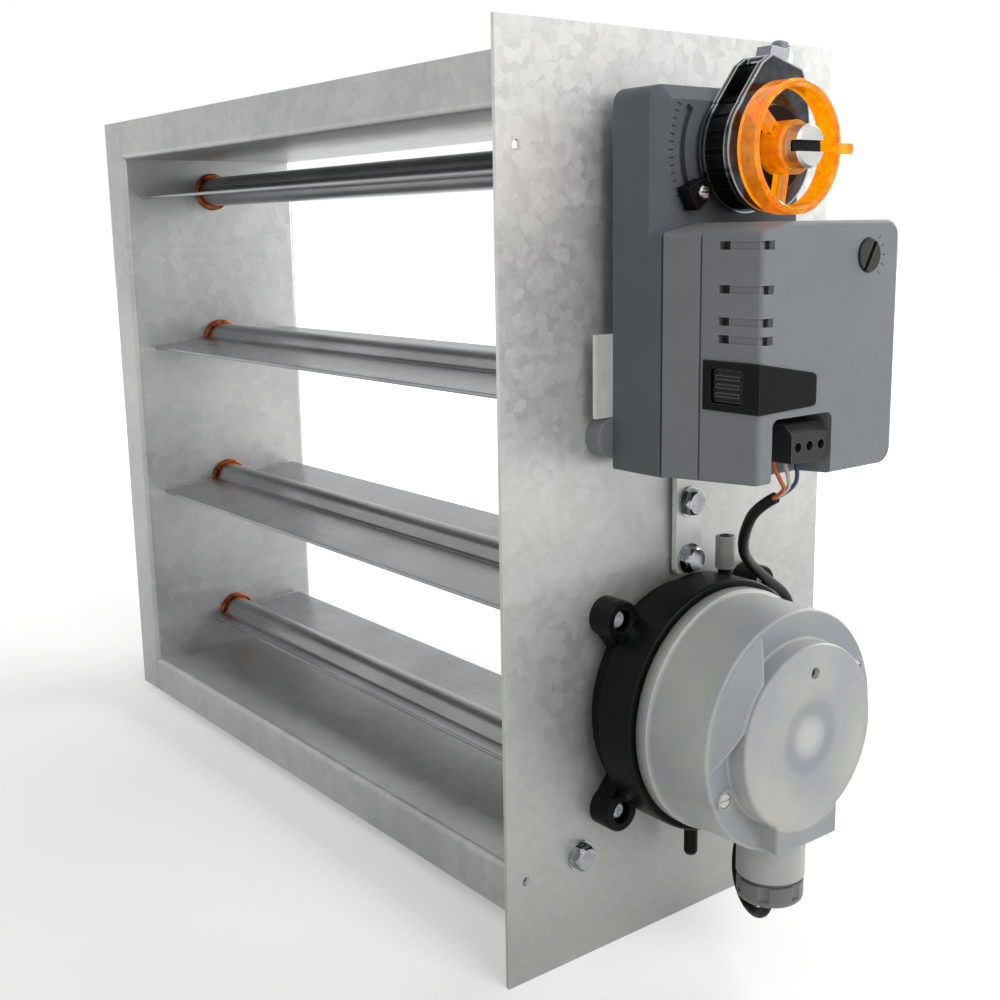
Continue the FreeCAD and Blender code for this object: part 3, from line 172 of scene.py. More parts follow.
def noise(tree, place, scale, detail):
    """Cloudy noise between 0 and 1, with about scale clouds to the metre."""
    return add(tree, "TexNoise", {"Vector": place, "Scale": scale, "Detail": detail}).outputs["Fac"]


def by_noise(tree, cloudy, low=0.0, high=1.0):
    """low to high, as a noise goes from 0.3 to 0.7, where nearly all of it lies."""
    return spread(tree, cloudy, low, high, 0.3, 0.7)


def start_material(name, **constants):
    """A material with a Principled shader of its own, whose unchanging values sit on its sockets."""
    material = bpy.data.materials.new(name)
    material.use_nodes = True
    tree = material.node_tree
    shader = tree.nodes["Principled BSDF"]
    for key, value in constants.items():
        shader.inputs[key.replace("_", " ").title().replace("Ior", "IOR")].default_value = value
    place = add(tree, "TexCoord").outputs["Object"]
    return material, tree, shader, place


def start_group(name, inputs, outputs):
    """A node group whose inputs and outputs are given as (name, kind, default)."""
    group = bpy.data.node_groups.new(name, "ShaderNodeTree")
    for side, sockets in (("INPUT", inputs), ("OUTPUT", outputs)):
        for label, kind, value in sockets:
            socket = group.interface.new_socket(label, in_out=side, socket_type="NodeSocket" + kind)
            if value is not None:
                socket.default_value = value
    given = group.nodes.new("NodeGroupInput").outputs
    return group, given, group.nodes.new("NodeGroupOutput").inputs


def place_group(tree, group, sockets):
    """The outputs of a node group placed in a material, with the material's own inputs."""
    return add(tree, "Group", sockets, node_tree=group).outputs


def bump(tree, shader, height, strength, depth):
    """The surface normal tilted by a height that goes up to depth."""
    node = add(tree, "Bump", {"Height": height, "Strength": strength, "Distance": depth})
    tree.links.new(node.outputs[0], shader.inputs["Normal"])


moulded_grain, given, result = start_group(
    "moulded_grain",
    (("Place", "Vector", None), ("Grain", "Float", 1500.0)),
    (("Mottle", "Float", None), ("Grain", "Float", None)))
moulded_grain.links.new(noise(moulded_grain, given["Place"], 55.0, 4.0), result["Mottle"])
moulded_grain.links.new(noise(moulded_grain, given["Place"], given["Grain"], 2.0), result["Grain"])


# Edge mask. It lays real wear and polish on metal edges, and painted highlights on the mouldings' and the
# switch cover's edges and on the ring's painted glow.
edge_wear_and_highlight, given, result = start_group(
    "edge_wear_and_highlight", (("Radius", "Float", 0.0006),), (("Mask", "Float", None),))
rounded = add(edge_wear_and_highlight, "Bevel", {"Radius": given["Radius"]}, samples=4).outputs[0]
facing = add(edge_wear_and_highlight, "NewGeometry").outputs["Normal"]
parting = add(edge_wear_and_highlight, "VectorMath", {0: rounded, 1: facing}, operation="DOT_PRODUCT")
edge_wear_and_highlight.links.new(fall(edge_wear_and_highlight, parting.outputs["Value"], 0.80, 0.97), result["Mask"])


def edge_share(tree, radius, share):
    """share on edges, over a width of about radius, and 0 elsewhere."""
    return spread(tree, place_group(tree, edge_wear_and_highlight, {"Radius": radius})["Mask"], 0.0, share)


def moulding(name, colour, grain, depth, gloss=(0.42, 0.58), tint=0.82, rim=0.0, **constants):
    """Moulded plastic or rubber: an even colour with faint clouds, a fine eroded grain, and a painted
    highlight that makes the edges paler by the share rim."""
    material, tree, shader, place = start_material(name, **constants)
    texture = place_group(tree, moulded_grain, {"Place": place, "Grain": grain})
    light = linear(*colour)
    dark = (*(tint * c for c in light[:3]), 1.0)
    body = blend_colour(tree, by_noise(tree, texture["Mottle"]), dark, light)
    # Painted highlight: the edges are laid over towards a pale grey.
    if rim:
        body = blend_colour(tree, edge_share(tree, 0.0005, rim), body, linear(214, 216, 218))
    tree.links.new(body, shader.inputs["Base Color"])
    tree.links.new(by_noise(tree, texture["Grain"], *gloss), shader.inputs["Roughness"])
    bump(tree, shader, texture["Grain"], 0.5, depth)
    return material


cable_rubber = moulding("cable_rubber", (20, 20, 20), 900.0, 0.00006, (0.38, 0.52),
                        specular_ior_level=0.15)
cable = smooth_cord("cable", cable_route, cable_r)
cable.data.materials.append(cable_rubber)
cores = []
for (core_name, core_colour), route in zip(core_colours.items(), core_routes):
    core = smooth_cord(core_name, route, core_r)
    core.data.materials.append(moulding(core_name, core_colour, 2500.0, 0.00003, (0.30, 0.42)))
    cores.append(core)
for piece in (cable, *cores):
    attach(piece, "damper_frame")
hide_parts("control_cable")
for core in cores:
    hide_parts("control_cores")


# Studio. A large pale floor under the plate's bottom edge and a white surround, with a large
# lamp to the upper right that faces the actuator, and a smaller one behind the plate that
# shines into the frame.
floor_z = cad_low.z
floor_half = 6.0
floor_glow = (0.30, 1.2)
floor_glow_reach = (0.34, 1.0)
surround_light = 0.36
floor_mesh = bpy.data.meshes.new("floor")
floor_mesh.from_pydata([(x * floor_half, y * floor_half, floor_z) for x, y in
                        ((-1, -1), (1, -1), (1, 1), (-1, 1))], [], [(0, 1, 2, 3)])
floor = bpy.data.objects.new("floor", floor_mesh)
bpy.context.scene.collection.objects.link(floor)


def seen_rays(tree):
    """1 for rays that the camera, a reflection or a see-through piece sends, and 0 for those
    that carry light."""
    path = add(tree, "LightPath").outputs
    direct = maths(tree, "MAXIMUM", path["Is Camera Ray"], path["Is Glossy Ray"])
    return maths(tree, "MAXIMUM", direct, path["Is Transmission Ray"])


floor_paint, tree, shader, place = start_material("floor_paint", roughness=0.9,
                                                  specular_ior_level=0.1)
paper = blend_colour(tree, noise(tree, place, 3.0, 2.0), linear(236, 236, 235),
                     linear(242, 242, 242))
tree.links.new(paper, shader.inputs["Base Color"])
shader.inputs["Emission Color"].default_value = (1.0, 1.0, 1.0, 1.0)
distance = add(tree, "VectorMath", {0: place}, operation="LENGTH").outputs["Value"]
outward = spread(tree, distance, *floor_glow_reach, *floor_glow)
tree.links.new(maths(tree, "MULTIPLY", seen_rays(tree), outward),
               shader.inputs["Emission Strength"])
floor_mesh.materials.append(floor_paint)

world = bpy.data.worlds.new("surround")
world.use_nodes = True
bpy.context.scene.world = world
tree = world.node_tree
surround = tree.nodes["Background"]
surround.inputs["Color"].default_value = (1.0, 1.0, 1.0, 1.0)
tree.links.new(spread(tree, seen_rays(tree), surround_light, 1.0), surround.inputs["Strength"])


def soft_lamp(name, place, target, size, power):
    """A square area lamp at place that faces target."""
    lamp = bpy.data.lights.new(name, "AREA")
    lamp.size = size
    lamp.energy = power
    holder = bpy.data.objects.new(name, lamp)
    holder.visible_camera = False
    aim = (Vector(target) - Vector(place)).to_track_quat("-Z", "Y").to_matrix().to_4x4()
    holder.matrix_world = Matrix.Translation(place) @ aim
    bpy.context.scene.collection.objects.link(holder)


soft_lamp("key_lamp", place=(1.25, -0.05, 0.75), target=(0.0, 0.0, 0.0), size=1.0, power=8.6)
soft_lamp("fill_lamp", place=(-0.02, 0.65, 0.28), target=(-0.30, 0.0, 0.0), size=0.5, power=3.4)


# Frame channels. Two jambs, a head and a sill of 1.2 mm galvanised sheet, folded to channels
# with return lips and screwed to the mounting plate. The zinc shows soft grey crystals.
def finish(material, *nodes):
    """Each named CAD node gets the material in every slot it has."""
    for node in nodes:
        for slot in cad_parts[node].material_slots:
            slot.material = material


frost_share = 0.35
zinc_crystals, given, result = start_group(
    "zinc_crystals",
    (("Place", "Vector", None), ("Crystals", "Float", 110.0), ("Contrast", "Float", 0.5)),
    (("Shade", "Float", None), ("Satin", "Float", None), ("Relief", "Float", None)))
tree = zinc_crystals
wobble = add(tree, "TexNoise", {"Vector": given["Place"], "Scale": 160.0, "Detail": 2.0})
pushed = add(tree, "VectorMath", {0: wobble.outputs["Color"], "Scale": 0.004}, operation="SCALE")
bent = add(tree, "VectorMath", {0: given["Place"], 1: pushed.outputs[0]}, operation="ADD")
cells = add(tree, "TexVoronoi", {"Vector": bent.outputs[0], "Scale": given["Crystals"]})
tone = add(tree, "SeparateColor", {"Color": cells.outputs["Color"]}).outputs["Red"]
frost = noise(tree, given["Place"], 900.0, 3.0)
cloud = noise(tree, given["Place"], 14.0, 3.0)
crystal_part = maths(tree, "MULTIPLY_ADD", spread(tree, tone, -0.5, 0.5), given["Contrast"], cloud)
shade = maths(tree, "MULTIPLY_ADD", frost, frost_share, crystal_part)
tree.links.new(maths(tree, "SUBTRACT", shade, frost_share / 2), result["Shade"])
tree.links.new(maths(tree, "MULTIPLY_ADD", tone, 0.5, frost), result["Satin"])
tree.links.new(maths(tree, "MULTIPLY_ADD", tone, 0.2, frost), result["Relief"])


scratch_headings = (0.5, 1.3, 2.4)
fine_scratches, given, result = start_group(
    "fine_scratches", (("Place", "Vector", None), ("Scale", "Float", 60.0)),
    (("Mask", "Float", None),))
tree = fine_scratches
scratches = []
for heading in scratch_headings:
    laid = add(tree, "Mapping", {"Vector": given["Place"], "Rotation": (heading, 0.3, 0.2),
                                 "Scale": (1.0, 0.05, 1.0)}).outputs[0]
    scratches.append(rise(tree, noise(tree, laid, given["Scale"], 6.0), 0.66, 0.74))
first_pair = maths(tree, "MAXIMUM", scratches[0], scratches[1])
tree.links.new(maths(tree, "MAXIMUM", first_pair, scratches[2]), result["Mask"])


def painted_low_shade(tree, place, colour, low_shade_colour, share):
    """colour that goes over to the low shade colour by share towards the foot of the damper: painted
    shade, darker towards the bottom.
    """
    height = add(tree, "SeparateXYZ", {0: place}).outputs["Z"]
    return blend_colour(tree, fall(tree, height, -0.14, 0.10, share), colour, low_shade_colour)


def galvanised(name, dark, light, crystals, contrast, satin, low_shade_colour, share, **constants):
    """Zinc-coated sheet: crystals of differing grey and gloss under a fine frost, thin scratches from
    handling, pale sheared edges, and painted shade that darkens it towards the bottom."""
    material, tree, shader, place = start_material(name, **constants)
    zinc = place_group(tree, zinc_crystals,
                       {"Place": place, "Crystals": crystals, "Contrast": contrast})
    scratch = place_group(tree, fine_scratches, {"Place": place})["Mask"]
    greys = blend_colour(tree, rise(tree, zinc["Shade"], 0.2, 0.8), linear(*dark), linear(*light))
    # Painted shade: the sheet darkens towards the foot of the damper.
    sheet = painted_low_shade(tree, place, greys, linear(*low_shade_colour), share)
    scratched = blend_colour(tree, spread(tree, scratch, 0.0, 0.18), sheet, linear(232, 232, 230))
    body = blend_colour(tree, edge_share(tree, 0.0005, 0.5), scratched, linear(222, 223, 224))
    tree.links.new(body, shader.inputs["Base Color"])
    rough = spread(tree, zinc["Satin"], *satin, 0.3, 1.2)
    tree.links.new(maths(tree, "MULTIPLY_ADD", scratch, 0.12, rough), shader.inputs["Roughness"])
    bump(tree, shader, zinc["Relief"], 0.05, 0.00025)
    return material


channel_zinc = galvanised("channel_zinc", (176, 177, 178), (208, 208, 207), 170.0, 0.22,
                          (0.30, 0.42), (150, 150, 148), 0.10, metallic=0.45,
                          specular_ior_level=0.4)
finish(channel_zinc, "head_channel", "sill_channel", "near_jamb", "far_jamb")


# Mounting plate. A flat sheared 1.5 mm sheet, paler and more satin than the channels, with
# smaller crystals than theirs.
# The plate's lower part is strongly darkened by painted shade.
plate_zinc = galvanised("plate_zinc", (200, 200, 197), (230, 230, 227), 300.0, 0.30,
                        (0.38, 0.50), (150, 150, 147), 0.75, metallic=0.6,
                        specular_ior_level=0.4)
finish(plate_zinc, "mounting_plate")


# Blades and their shafts. Each blade is two bright 0.8 mm sheets laid back to back and pressed
# round a tube that takes the shaft, so the rolling marks run along it. The shafts are drawn
# steel bar, with turned marks.
along_blade = (4.0, 220.0, 220.0)
round_shaft = (900.0, 40.0, 40.0)


def drawn_metal(name, dark, light, stretch, satin, depth, rim=0.0, rim_width=0.0005, **constants):
    """Bright metal with marks drawn along one axis: noise stretched by the three stretch factors.
    Its edges are polished to a pale colour, rim_width wide, by the share rim."""
    material, tree, shader, place = start_material(name, **constants)
    drawn = add(tree, "Mapping", {"Vector": place, "Scale": stretch}).outputs[0]
    marks = noise(tree, drawn, 1.0, 5.0)
    both = maths(tree, "ADD", marks, noise(tree, place, 30.0, 3.0))
    body = blend_colour(tree, rise(tree, both, 0.7, 1.3), linear(*dark), linear(*light))
    if rim:
        body = blend_colour(tree, edge_share(tree, rim_width, rim), body, linear(238, 240, 242))
    tree.links.new(body, shader.inputs["Base Color"])
    tree.links.new(by_noise(tree, marks, *satin), shader.inputs["Roughness"])
    bump(tree, shader, marks, 0.3, depth)
    return material


blade_sheet = drawn_metal("blade_sheet", (136, 138, 140), (164, 165, 166), along_blade,
                          (0.24, 0.34), 0.00002, rim=0.8, metallic=0.75, specular_ior_level=0.4)
finish(blade_sheet, "blade_1", "blade_2", "blade_3", "blade_4")
shaft_steel = drawn_metal("shaft_steel", (186, 186, 183), (220, 220, 216), round_shaft,
                          (0.28, 0.40), 0.00003, rim=0.4, metallic=1.0)
finish(shaft_steel, "blade_shaft_2", "blade_shaft_3", "blade_shaft_4")


# Driven shaft. It is of the same bar, with a slot for a driver across its faced end. The slot is laid
# near black as painted shade in its recess.
drive_z = 0.1143
slot_half = 0.00162
slot_floor = (0.0520, 0.0522)
slot_rim = (0.0544, 0.0546)


def near(tree, value, middle, reach):
    """1 where value is within reach of middle, and 0 elsewhere."""
    return maths(tree, "COMPARE", value, middle, reach)


def where_all(tree, *shares):
    """The product of the given shares."""
    together = shares[0]
    for share in shares[1:]:
        together = maths(tree, "MULTIPLY", together, share)
    return together


def mark(material, mask, colour):
    """Lays a colour over a finished material where the mask is 1."""
    tree = material.node_tree
    shader = tree.nodes["Principled BSDF"]
    under = shader.inputs["Base Color"].links[0].from_socket
    marked = blend_colour(tree, mask, under, linear(*colour))
    tree.links.new(marked, shader.inputs["Base Color"])


slotted_steel = shaft_steel.copy()
slotted_steel.name = "slot_painted_shade"
tree = slotted_steel.node_tree
part = add(tree, "SeparateXYZ", {0: add(tree, "TexCoord").outputs["Object"]}).outputs
# Painted shade in the driver slot.
slot_shade_mask = where_all(tree, near(tree, part["Z"], drive_z, slot_half),
                    rise(tree, part["X"], *slot_floor), fall(tree, part["X"], *slot_rim))
mark(slotted_steel, slot_shade_mask, (20, 20, 20))
finish(slotted_steel, "blade_shaft_1")


# Bushes. Sintered bronze, a porous, oily, orange-brown metal. They are pressed into the jambs
# and carry the shafts.
bush_bronze, tree, shader, place = start_material("bush_bronze", metallic=0.85)
pores = add(tree, "TexVoronoi", {"Vector": place, "Scale": 2200.0}).outputs["Distance"]
oil = noise(tree, place, 260.0, 4.0)
bronze = blend_colour(tree, rise(tree, oil, 0.35, 0.62), linear(84, 38, 14), linear(176, 90, 34))
tree.links.new(bronze, shader.inputs["Base Color"])
tree.links.new(by_noise(tree, oil, 0.5, 0.28), shader.inputs["Roughness"])
bump(tree, shader, pores, 0.35, 0.0001)
finish(bush_bronze, "near_bushes", "far_bushes")


# Linkage. Zinc-plated cranks are clamped to the shafts by black set screws, and a flat bar on
# loose pins joins them.
even_marks = (160.0, 160.0, 160.0)
plated_steel = drawn_metal("plated_steel", (168, 169, 167), (198, 199, 197), even_marks,
                           (0.24, 0.36), 0.00002, rim=0.6, metallic=1.0)
black_steel = drawn_metal("black_steel", (22, 22, 23), (44, 44, 46), (300.0, 300.0, 300.0),
                          (0.30, 0.45), 0.00003, metallic=0.6)
finish(plated_steel, "tie_bar")
for i in range(1, 5):
    finish(plated_steel, f"crank_{i}", f"link_pin_{i}")
    finish(black_steel, f"set_screw_{i}")


# Fasteners. Hexagon washer-head and pan-head screws with a bright zinc finish, dulled in
# patches. They are plated in a drum, so their marks have no direction.
fine_marks = (400.0, 400.0, 400.0)
bright_zinc = drawn_metal("bright_zinc", (128, 130, 135), (176, 178, 182), fine_marks,
                          (0.14, 0.26), 0.00002, rim=0.8, metallic=1.0)
finish(bright_zinc, "plate_screws", "strap_bolts", "end_stop_screw_left", "end_stop_screw_right")
# The ear screws sit deep and get a much paler copy of the zinc as painted light.
ear_screw_zinc_painted_light = drawn_metal("ear_screw_zinc_painted_light", (222, 223, 225), (240, 241, 242), fine_marks,
                            (0.30, 0.42), 0.00002, metallic=0.6)
finish(ear_screw_zinc_painted_light, "ear_screws")
nut_zinc = drawn_metal("nut_zinc", (112, 114, 118), (142, 144, 148), fine_marks,
                       (0.36, 0.46), 0.00002, rim=0.3, metallic=0.9)
finish(nut_zinc, "clamp_nut")


# Actuator housing. A dark base and a paler front cover, both moulded with a spark-eroded grain.
# Fine graduations are moulded beside the end-stop track and the selector knob.
def off_axis(tree, y, z):
    """The distance from a line along x, where y and z are measured from that line."""
    flat = add(tree, "CombineXYZ", {1: y, 2: z}).outputs[0]
    return add(tree, "VectorMath", {0: flat}, operation="LENGTH").outputs["Value"]


graduation, given, result = start_group(
    "graduation",
    (("Place", "Vector", None), ("Centre", "Vector", None), ("Side", "Float", 1.0),
     ("Radius", "Float", 0.03), ("Reach", "Float", 0.001), ("Swing", "Float", 0.7),
     ("Pitch", "Float", 0.1), ("Face", "Float", 0.0)),
    (("Mask", "Float", None),))
tree = graduation
offset = add(tree, "VectorMath", {0: given["Place"], 1: given["Centre"]}, operation="SUBTRACT")
part = add(tree, "SeparateXYZ", {0: offset.outputs[0]}).outputs
out_y = maths(tree, "MULTIPLY", part["Y"], given["Side"])
out_z = maths(tree, "MULTIPLY", part["Z"], given["Side"])
radius = off_axis(tree, out_y, out_z)
angle = maths(tree, "ARCTAN2", out_z, out_y)
from_tick = maths(tree, "PINGPONG", angle, maths(tree, "MULTIPLY", given["Pitch"], 0.5))
on_tick = fall(tree, maths(tree, "MULTIPLY", from_tick, radius), 0.00016, 0.00026)
on_arc = near(tree, radius, given["Radius"], given["Reach"])
in_swing = near(tree, angle, 0.0, given["Swing"])
on_face = near(tree, part["X"], given["Face"], 0.0006)
tree.links.new(where_all(tree, on_tick, on_arc, in_swing, on_face), result["Mask"])


def graduate(material, colour, **ticks):
    """Lays an arc of ticks over a finished material."""
    tree = material.node_tree
    sockets = {key.title(): value for key, value in ticks.items()}
    sockets["Place"] = add(tree, "TexCoord").outputs["Object"]
    mark(material, place_group(tree, graduation, sockets)["Mask"], colour)


base_moulding = moulding("base_moulding", (100, 107, 112), 1500.0, 0.00012, (0.50, 0.66), 0.86,
                         rim=0.12, specular_ior_level=0.25)
graduate(base_moulding, (38, 41, 44), centre=(0.0, 0.0, drive_z), side=-1.0, radius=0.0302,
         reach=0.0009, swing=0.62, pitch=0.075, face=0.0262)
finish(base_moulding, "actuator_base")

cover_moulding = moulding("cover_moulding", (130, 134, 137), 1500.0, 0.00012, (0.44, 0.60), 0.9,
                          rim=0.25)
graduate(cover_moulding, (66, 70, 73), centre=(0.0, 0.0117, 0.0830), side=1.0, radius=0.0072,
         reach=0.0008, swing=1.0, pitch=0.4, face=0.0656)
vent_z = (0.0867, 0.0746, 0.0656, 0.0606)
vent_half = 0.00123
near_face_y = -0.0330
tree = cover_moulding.node_tree
part = add(tree, "SeparateXYZ", {0: add(tree, "TexCoord").outputs["Object"]}).outputs
# Painted shade: the ends of the four vent slots in the cover's near face are laid dark.
sunk = near(tree, part["Y"], near_face_y + 0.0016, 0.0014)
slots = [near(tree, part["Z"], z, vent_half) for z in vent_z]
in_slots = maths(tree, "ADD", maths(tree, "ADD", slots[0], slots[1]),
                 maths(tree, "ADD", slots[2], slots[3]))
left_end = spread(tree, part["X"], 0.9, 0.25, 0.0535, 0.0537)
right_end = rise(tree, part["X"], 0.0606, 0.0608, 0.9)
shaded_slot_ends = maths(tree, "MAXIMUM", left_end, right_end)
mark(cover_moulding, where_all(tree, sunk, in_slots, shaded_slot_ends), (26, 28, 30))
finish(cover_moulding, "actuator_cover")


# Vent ribs. Three thin ribs cross each end of the four vent slots, moulded with the cover and
# lying just under its face.
rib_pitch = 0.00078
rib_half_height = 0.00017
rib_ends = ((0.05005, 0.05345, 0.00085, 0.00045), (0.06080, 0.06435, 0.00035, 0.00025))


def skin(name, x, y, z, closed=False):
    """A smooth object over rings of points: each point is joined to the next one of its ring and
    to the same ones of the next ring, and where closed the last ring is joined to the first. Its
    seams and poles are merged and its faces turned outwards."""
    x, y, z = np.broadcast_arrays(x, y, z)
    index = np.arange(x.size).reshape(x.shape)
    following = np.roll(index, -1, axis=-2)
    corners = (index, np.roll(index, -1, axis=-1), np.roll(following, -1, axis=-1), following)
    if not closed:
        corners = [corner[..., :-1, :] for corner in corners]
    quads = np.stack(corners, axis=-1).reshape(-1, 4)
    mesh = bpy.data.meshes.new(name)
    mesh.from_pydata(np.stack((x, y, z), axis=-1).reshape(-1, 3), [], quads.tolist())
    shape = bmesh.new()
    shape.from_mesh(mesh)
    bmesh.ops.remove_doubles(shape, verts=shape.verts, dist=1e-7)
    bmesh.ops.dissolve_degenerate(shape, edges=shape.edges, dist=1e-7)
    bmesh.ops.recalc_face_normals(shape, faces=shape.faces)
    shape.to_mesh(mesh)
    shape.free()
    mesh.shade_smooth()
    piece = bpy.data.objects.new(name, mesh)
    bpy.context.scene.collection.objects.link(piece)
    return piece


def squared(wave, power):
    """A cosine or sine brought nearer to 1 and -1: its size to the given power, with its sign."""
    return np.sign(wave) * np.abs(wave) ** power


def bars(name, spans):
    """Straight bars along x as one mesh. Each has a section whose height and depth are the
    signed square roots of a circle's cosine and sine, so that it is nearly square with
    rounded corners, and it shrinks to a point at both ends. A span is its two x values, the
    middle of its section in y and z, and its half depth and half height."""
    spans = np.array(spans)[:, :, None, None]
    turn = np.linspace(0, 2 * math.pi, 12, endpoint=False)[None, None, :]
    share = np.array([0.0, 0.0, 0.04, 0.96, 1.0, 1.0])[None, :, None]
    size = np.array([0.0, 0.8, 1.0, 1.0, 0.8, 0.0])[None, :, None]
    x = spans[:, 0] + (spans[:, 1] - spans[:, 0]) * share
    y = spans[:, 2] + spans[:, 4] * size * squared(np.cos(turn), 0.5)
    z = spans[:, 3] + spans[:, 5] * size * squared(np.sin(turn), 0.5)
    return skin(name, x, y, z)


rib_spans = []
for z in vent_z:
    for step in (-1, 0, 1):
        for low_x, high_x, sink, half_depth in rib_ends:
            rib_spans.append((low_x, high_x, near_face_y + sink, z + rib_pitch * step,
                              half_depth, rib_half_height))
vent_ribs = bars("vent_ribs", rib_spans)
vent_ribs.data.materials.append(moulding("vent_rib_moulding", (92, 96, 99), 1500.0, 0.00004,
                                         (0.40, 0.54)))
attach(vent_ribs, "damper_frame")


# Black mouldings of the actuator: the gear release and its button, the terminal block, the
# hub body and the two end stops.
black_moulding = moulding("black_moulding", (12, 12, 13), 1300.0, 0.00008, (0.36, 0.50),
                          rim=0.07, specular_ior_level=0.10)
finish(black_moulding, "release_surround", "hub_body", "clamp_block", "end_stop_left",
       "end_stop_right")
# The release button's strong pale rim is a painted highlight on its ribs.
button_moulding = moulding("button_moulding", (24, 24, 25), 1300.0, 0.00006, (0.30, 0.42),
                           rim=0.45, specular_ior_level=0.15)
finish(button_moulding, "release_button")
terminal_moulding = moulding("terminal_moulding", (46, 48, 50), 1500.0, 0.00006, (0.36, 0.50),
                             rim=0.2, specular_ior_level=0.25)
finish(terminal_moulding, "terminal_block")
knob_moulding = moulding("knob_moulding", (44, 45, 43), 1500.0, 0.00006, (0.30, 0.44),
                         rim=0.2, specular_ior_level=0.25)
finish(knob_moulding, "selector_knob")


# Shaft clamp. A U-shaped yoke of blackened steel strip whose edges are polished bright, drawn
# tight by a nut on a stud with a rolled thread.
yoke_steel = drawn_metal("yoke_steel", (40, 41, 43), (84, 86, 89), (90.0, 260.0, 260.0),
                         (0.14, 0.26), 0.00002, rim=1.0, rim_width=0.0012, metallic=0.9)
finish(yoke_steel, "clamp_yoke")
stud_x = 0.0337
stud_r = 0.0030
stud_lean = math.radians(15.0)
stud_end_taper = 0.0005
thread_pitch = 0.0008


def threaded_rod(name, low, high):
    """A rod with a helical thread. Its radius falls from the full one by a quarter of the pitch,
    following a triangle wave in the height over the pitch less the turn, and the last pitch
    at each end tapers, where the rod closes on its axis."""
    turn = np.linspace(0, 2 * math.pi, 32, endpoint=False)[None, :]
    height = np.linspace(low, high, int((high - low) / thread_pitch * 10))[:, None]
    wave = (height / thread_pitch - turn / (2 * math.pi)) % 1.0
    taper = np.clip(np.minimum(height - low, high - height) / thread_pitch, 0, 1)
    radius = stud_r - 0.5 * thread_pitch * np.abs(wave - 0.5) - stud_end_taper * (1 - taper)
    radius[0] = 0
    radius[-1] = 0
    height[0] = height[1]
    height[-1] = height[-2]
    x = stud_x + radius * np.cos(turn)
    u = radius * np.sin(turn)
    y = u * math.cos(stud_lean) + height * math.sin(stud_lean)
    z = drive_z - u * math.sin(stud_lean) + height * math.cos(stud_lean)
    return skin(name, x, y, z)


threaded_stud = threaded_rod("threaded_stud", 0.0132, 0.0326)
threaded_stud.data.materials.append(nut_zinc)
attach(threaded_stud, "drive_blade")
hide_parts("clamp_stud")


# Indicator ring. Clear amber acrylic, pushed on the hub. It shows the clamp behind it, and a painted
# glow, brightest at its edges, is laid on it as emission.
ring_amber, tree, shader, place = start_material(
    "ring_amber", transmission_weight=0.70, ior=1.49, specular_ior_level=0.25,
    emission_strength=0.20)
texture = place_group(tree, moulded_grain, {"Place": place, "Grain": 420.0})
flow = by_noise(tree, texture["Grain"])
amber = blend_colour(tree, flow, linear(238, 146, 0), linear(255, 192, 0))
tree.links.new(amber, shader.inputs["Base Color"])
# Painted glow: emission, paler at the edges.
glow_edge_mask = place_group(tree, edge_wear_and_highlight, {"Radius": 0.0007})["Mask"]
painted_glow = blend_colour(tree, flow, linear(236, 122, 0), linear(255, 166, 0))
painted_glow = blend_colour(tree, glow_edge_mask, painted_glow, linear(255, 224, 40))
tree.links.new(painted_glow, shader.inputs["Emission Color"])
tree.links.new(by_noise(tree, texture["Grain"], 0.04, 0.12), shader.inputs["Roughness"])
bump(tree, shader, texture["Mottle"], 0.12, 0.0003)
finish(ring_amber, "indicator_ring")


# Brackets. An offset bracket stands the actuator off the plate, and a slotted strap below it
# stops it from turning. The bumper is a rubber foot.
bracket_zinc = drawn_metal("bracket_zinc", (216, 216, 214), (238, 238, 236), even_marks,
                           (0.38, 0.50), 0.00002, rim=0.4, metallic=0.3)
finish(bracket_zinc, "offset_bracket", "anti_rotation_strap")
foot_rubber = moulding("foot_rubber", (122, 125, 130), 900.0, 0.00008, (0.5, 0.66))
finish(foot_rubber, "bumper")


# Pressure switch base and its works. The black base carries a pale diaphragm housing and a
# setting dial, which show faintly through the cover.
switch_y = 0.0010
switch_z = -0.0662


def off_switch_axis(tree, place):
    """The distance from the middle line of the pressure switch."""
    part = add(tree, "SeparateXYZ", {0: place}).outputs
    return off_axis(tree, maths(tree, "SUBTRACT", part["Y"], switch_y),
                    maths(tree, "SUBTRACT", part["Z"], switch_z))


switch_black = moulding("switch_black", (13, 14, 15), 900.0, 0.00008, (0.32, 0.46), rim=0.07,
                        specular_ior_level=0.12)
finish(switch_black, "switch_base")
works_plastic = moulding("works_plastic", (150, 154, 158), 1200.0, 0.00006, (0.40, 0.52))
finish(works_plastic, "diaphragm_housing")
dial_white, tree, shader, place = start_material("dial_white")
texture = place_group(tree, moulded_grain, {"Place": place, "Grain": 1400.0})
white = blend_colour(tree, by_noise(tree, texture["Mottle"]), linear(232, 230, 224),
                     linear(244, 243, 238))
dial_rim = rise(tree, off_switch_axis(tree, place), 0.0060, 0.0068)
dial = blend_colour(tree, dial_rim, white, linear(128, 138, 152))
tree.links.new(dial, shader.inputs["Base Color"])
tree.links.new(by_noise(tree, texture["Grain"], 0.34, 0.46), shader.inputs["Roughness"])
bump(tree, shader, texture["Grain"], 0.5, 0.00005)
finish(dial_white, "setting_dial")


# Upper nipple's cap. A short pale silicone tube, pushed over the nipple of the pressure switch
# to keep dust out.
cap_centre = (0.0110, 0.0130)
cap_inner = 0.00242
cap_outer = 0.0034
cap_low = -0.0225
cap_high = -0.0112


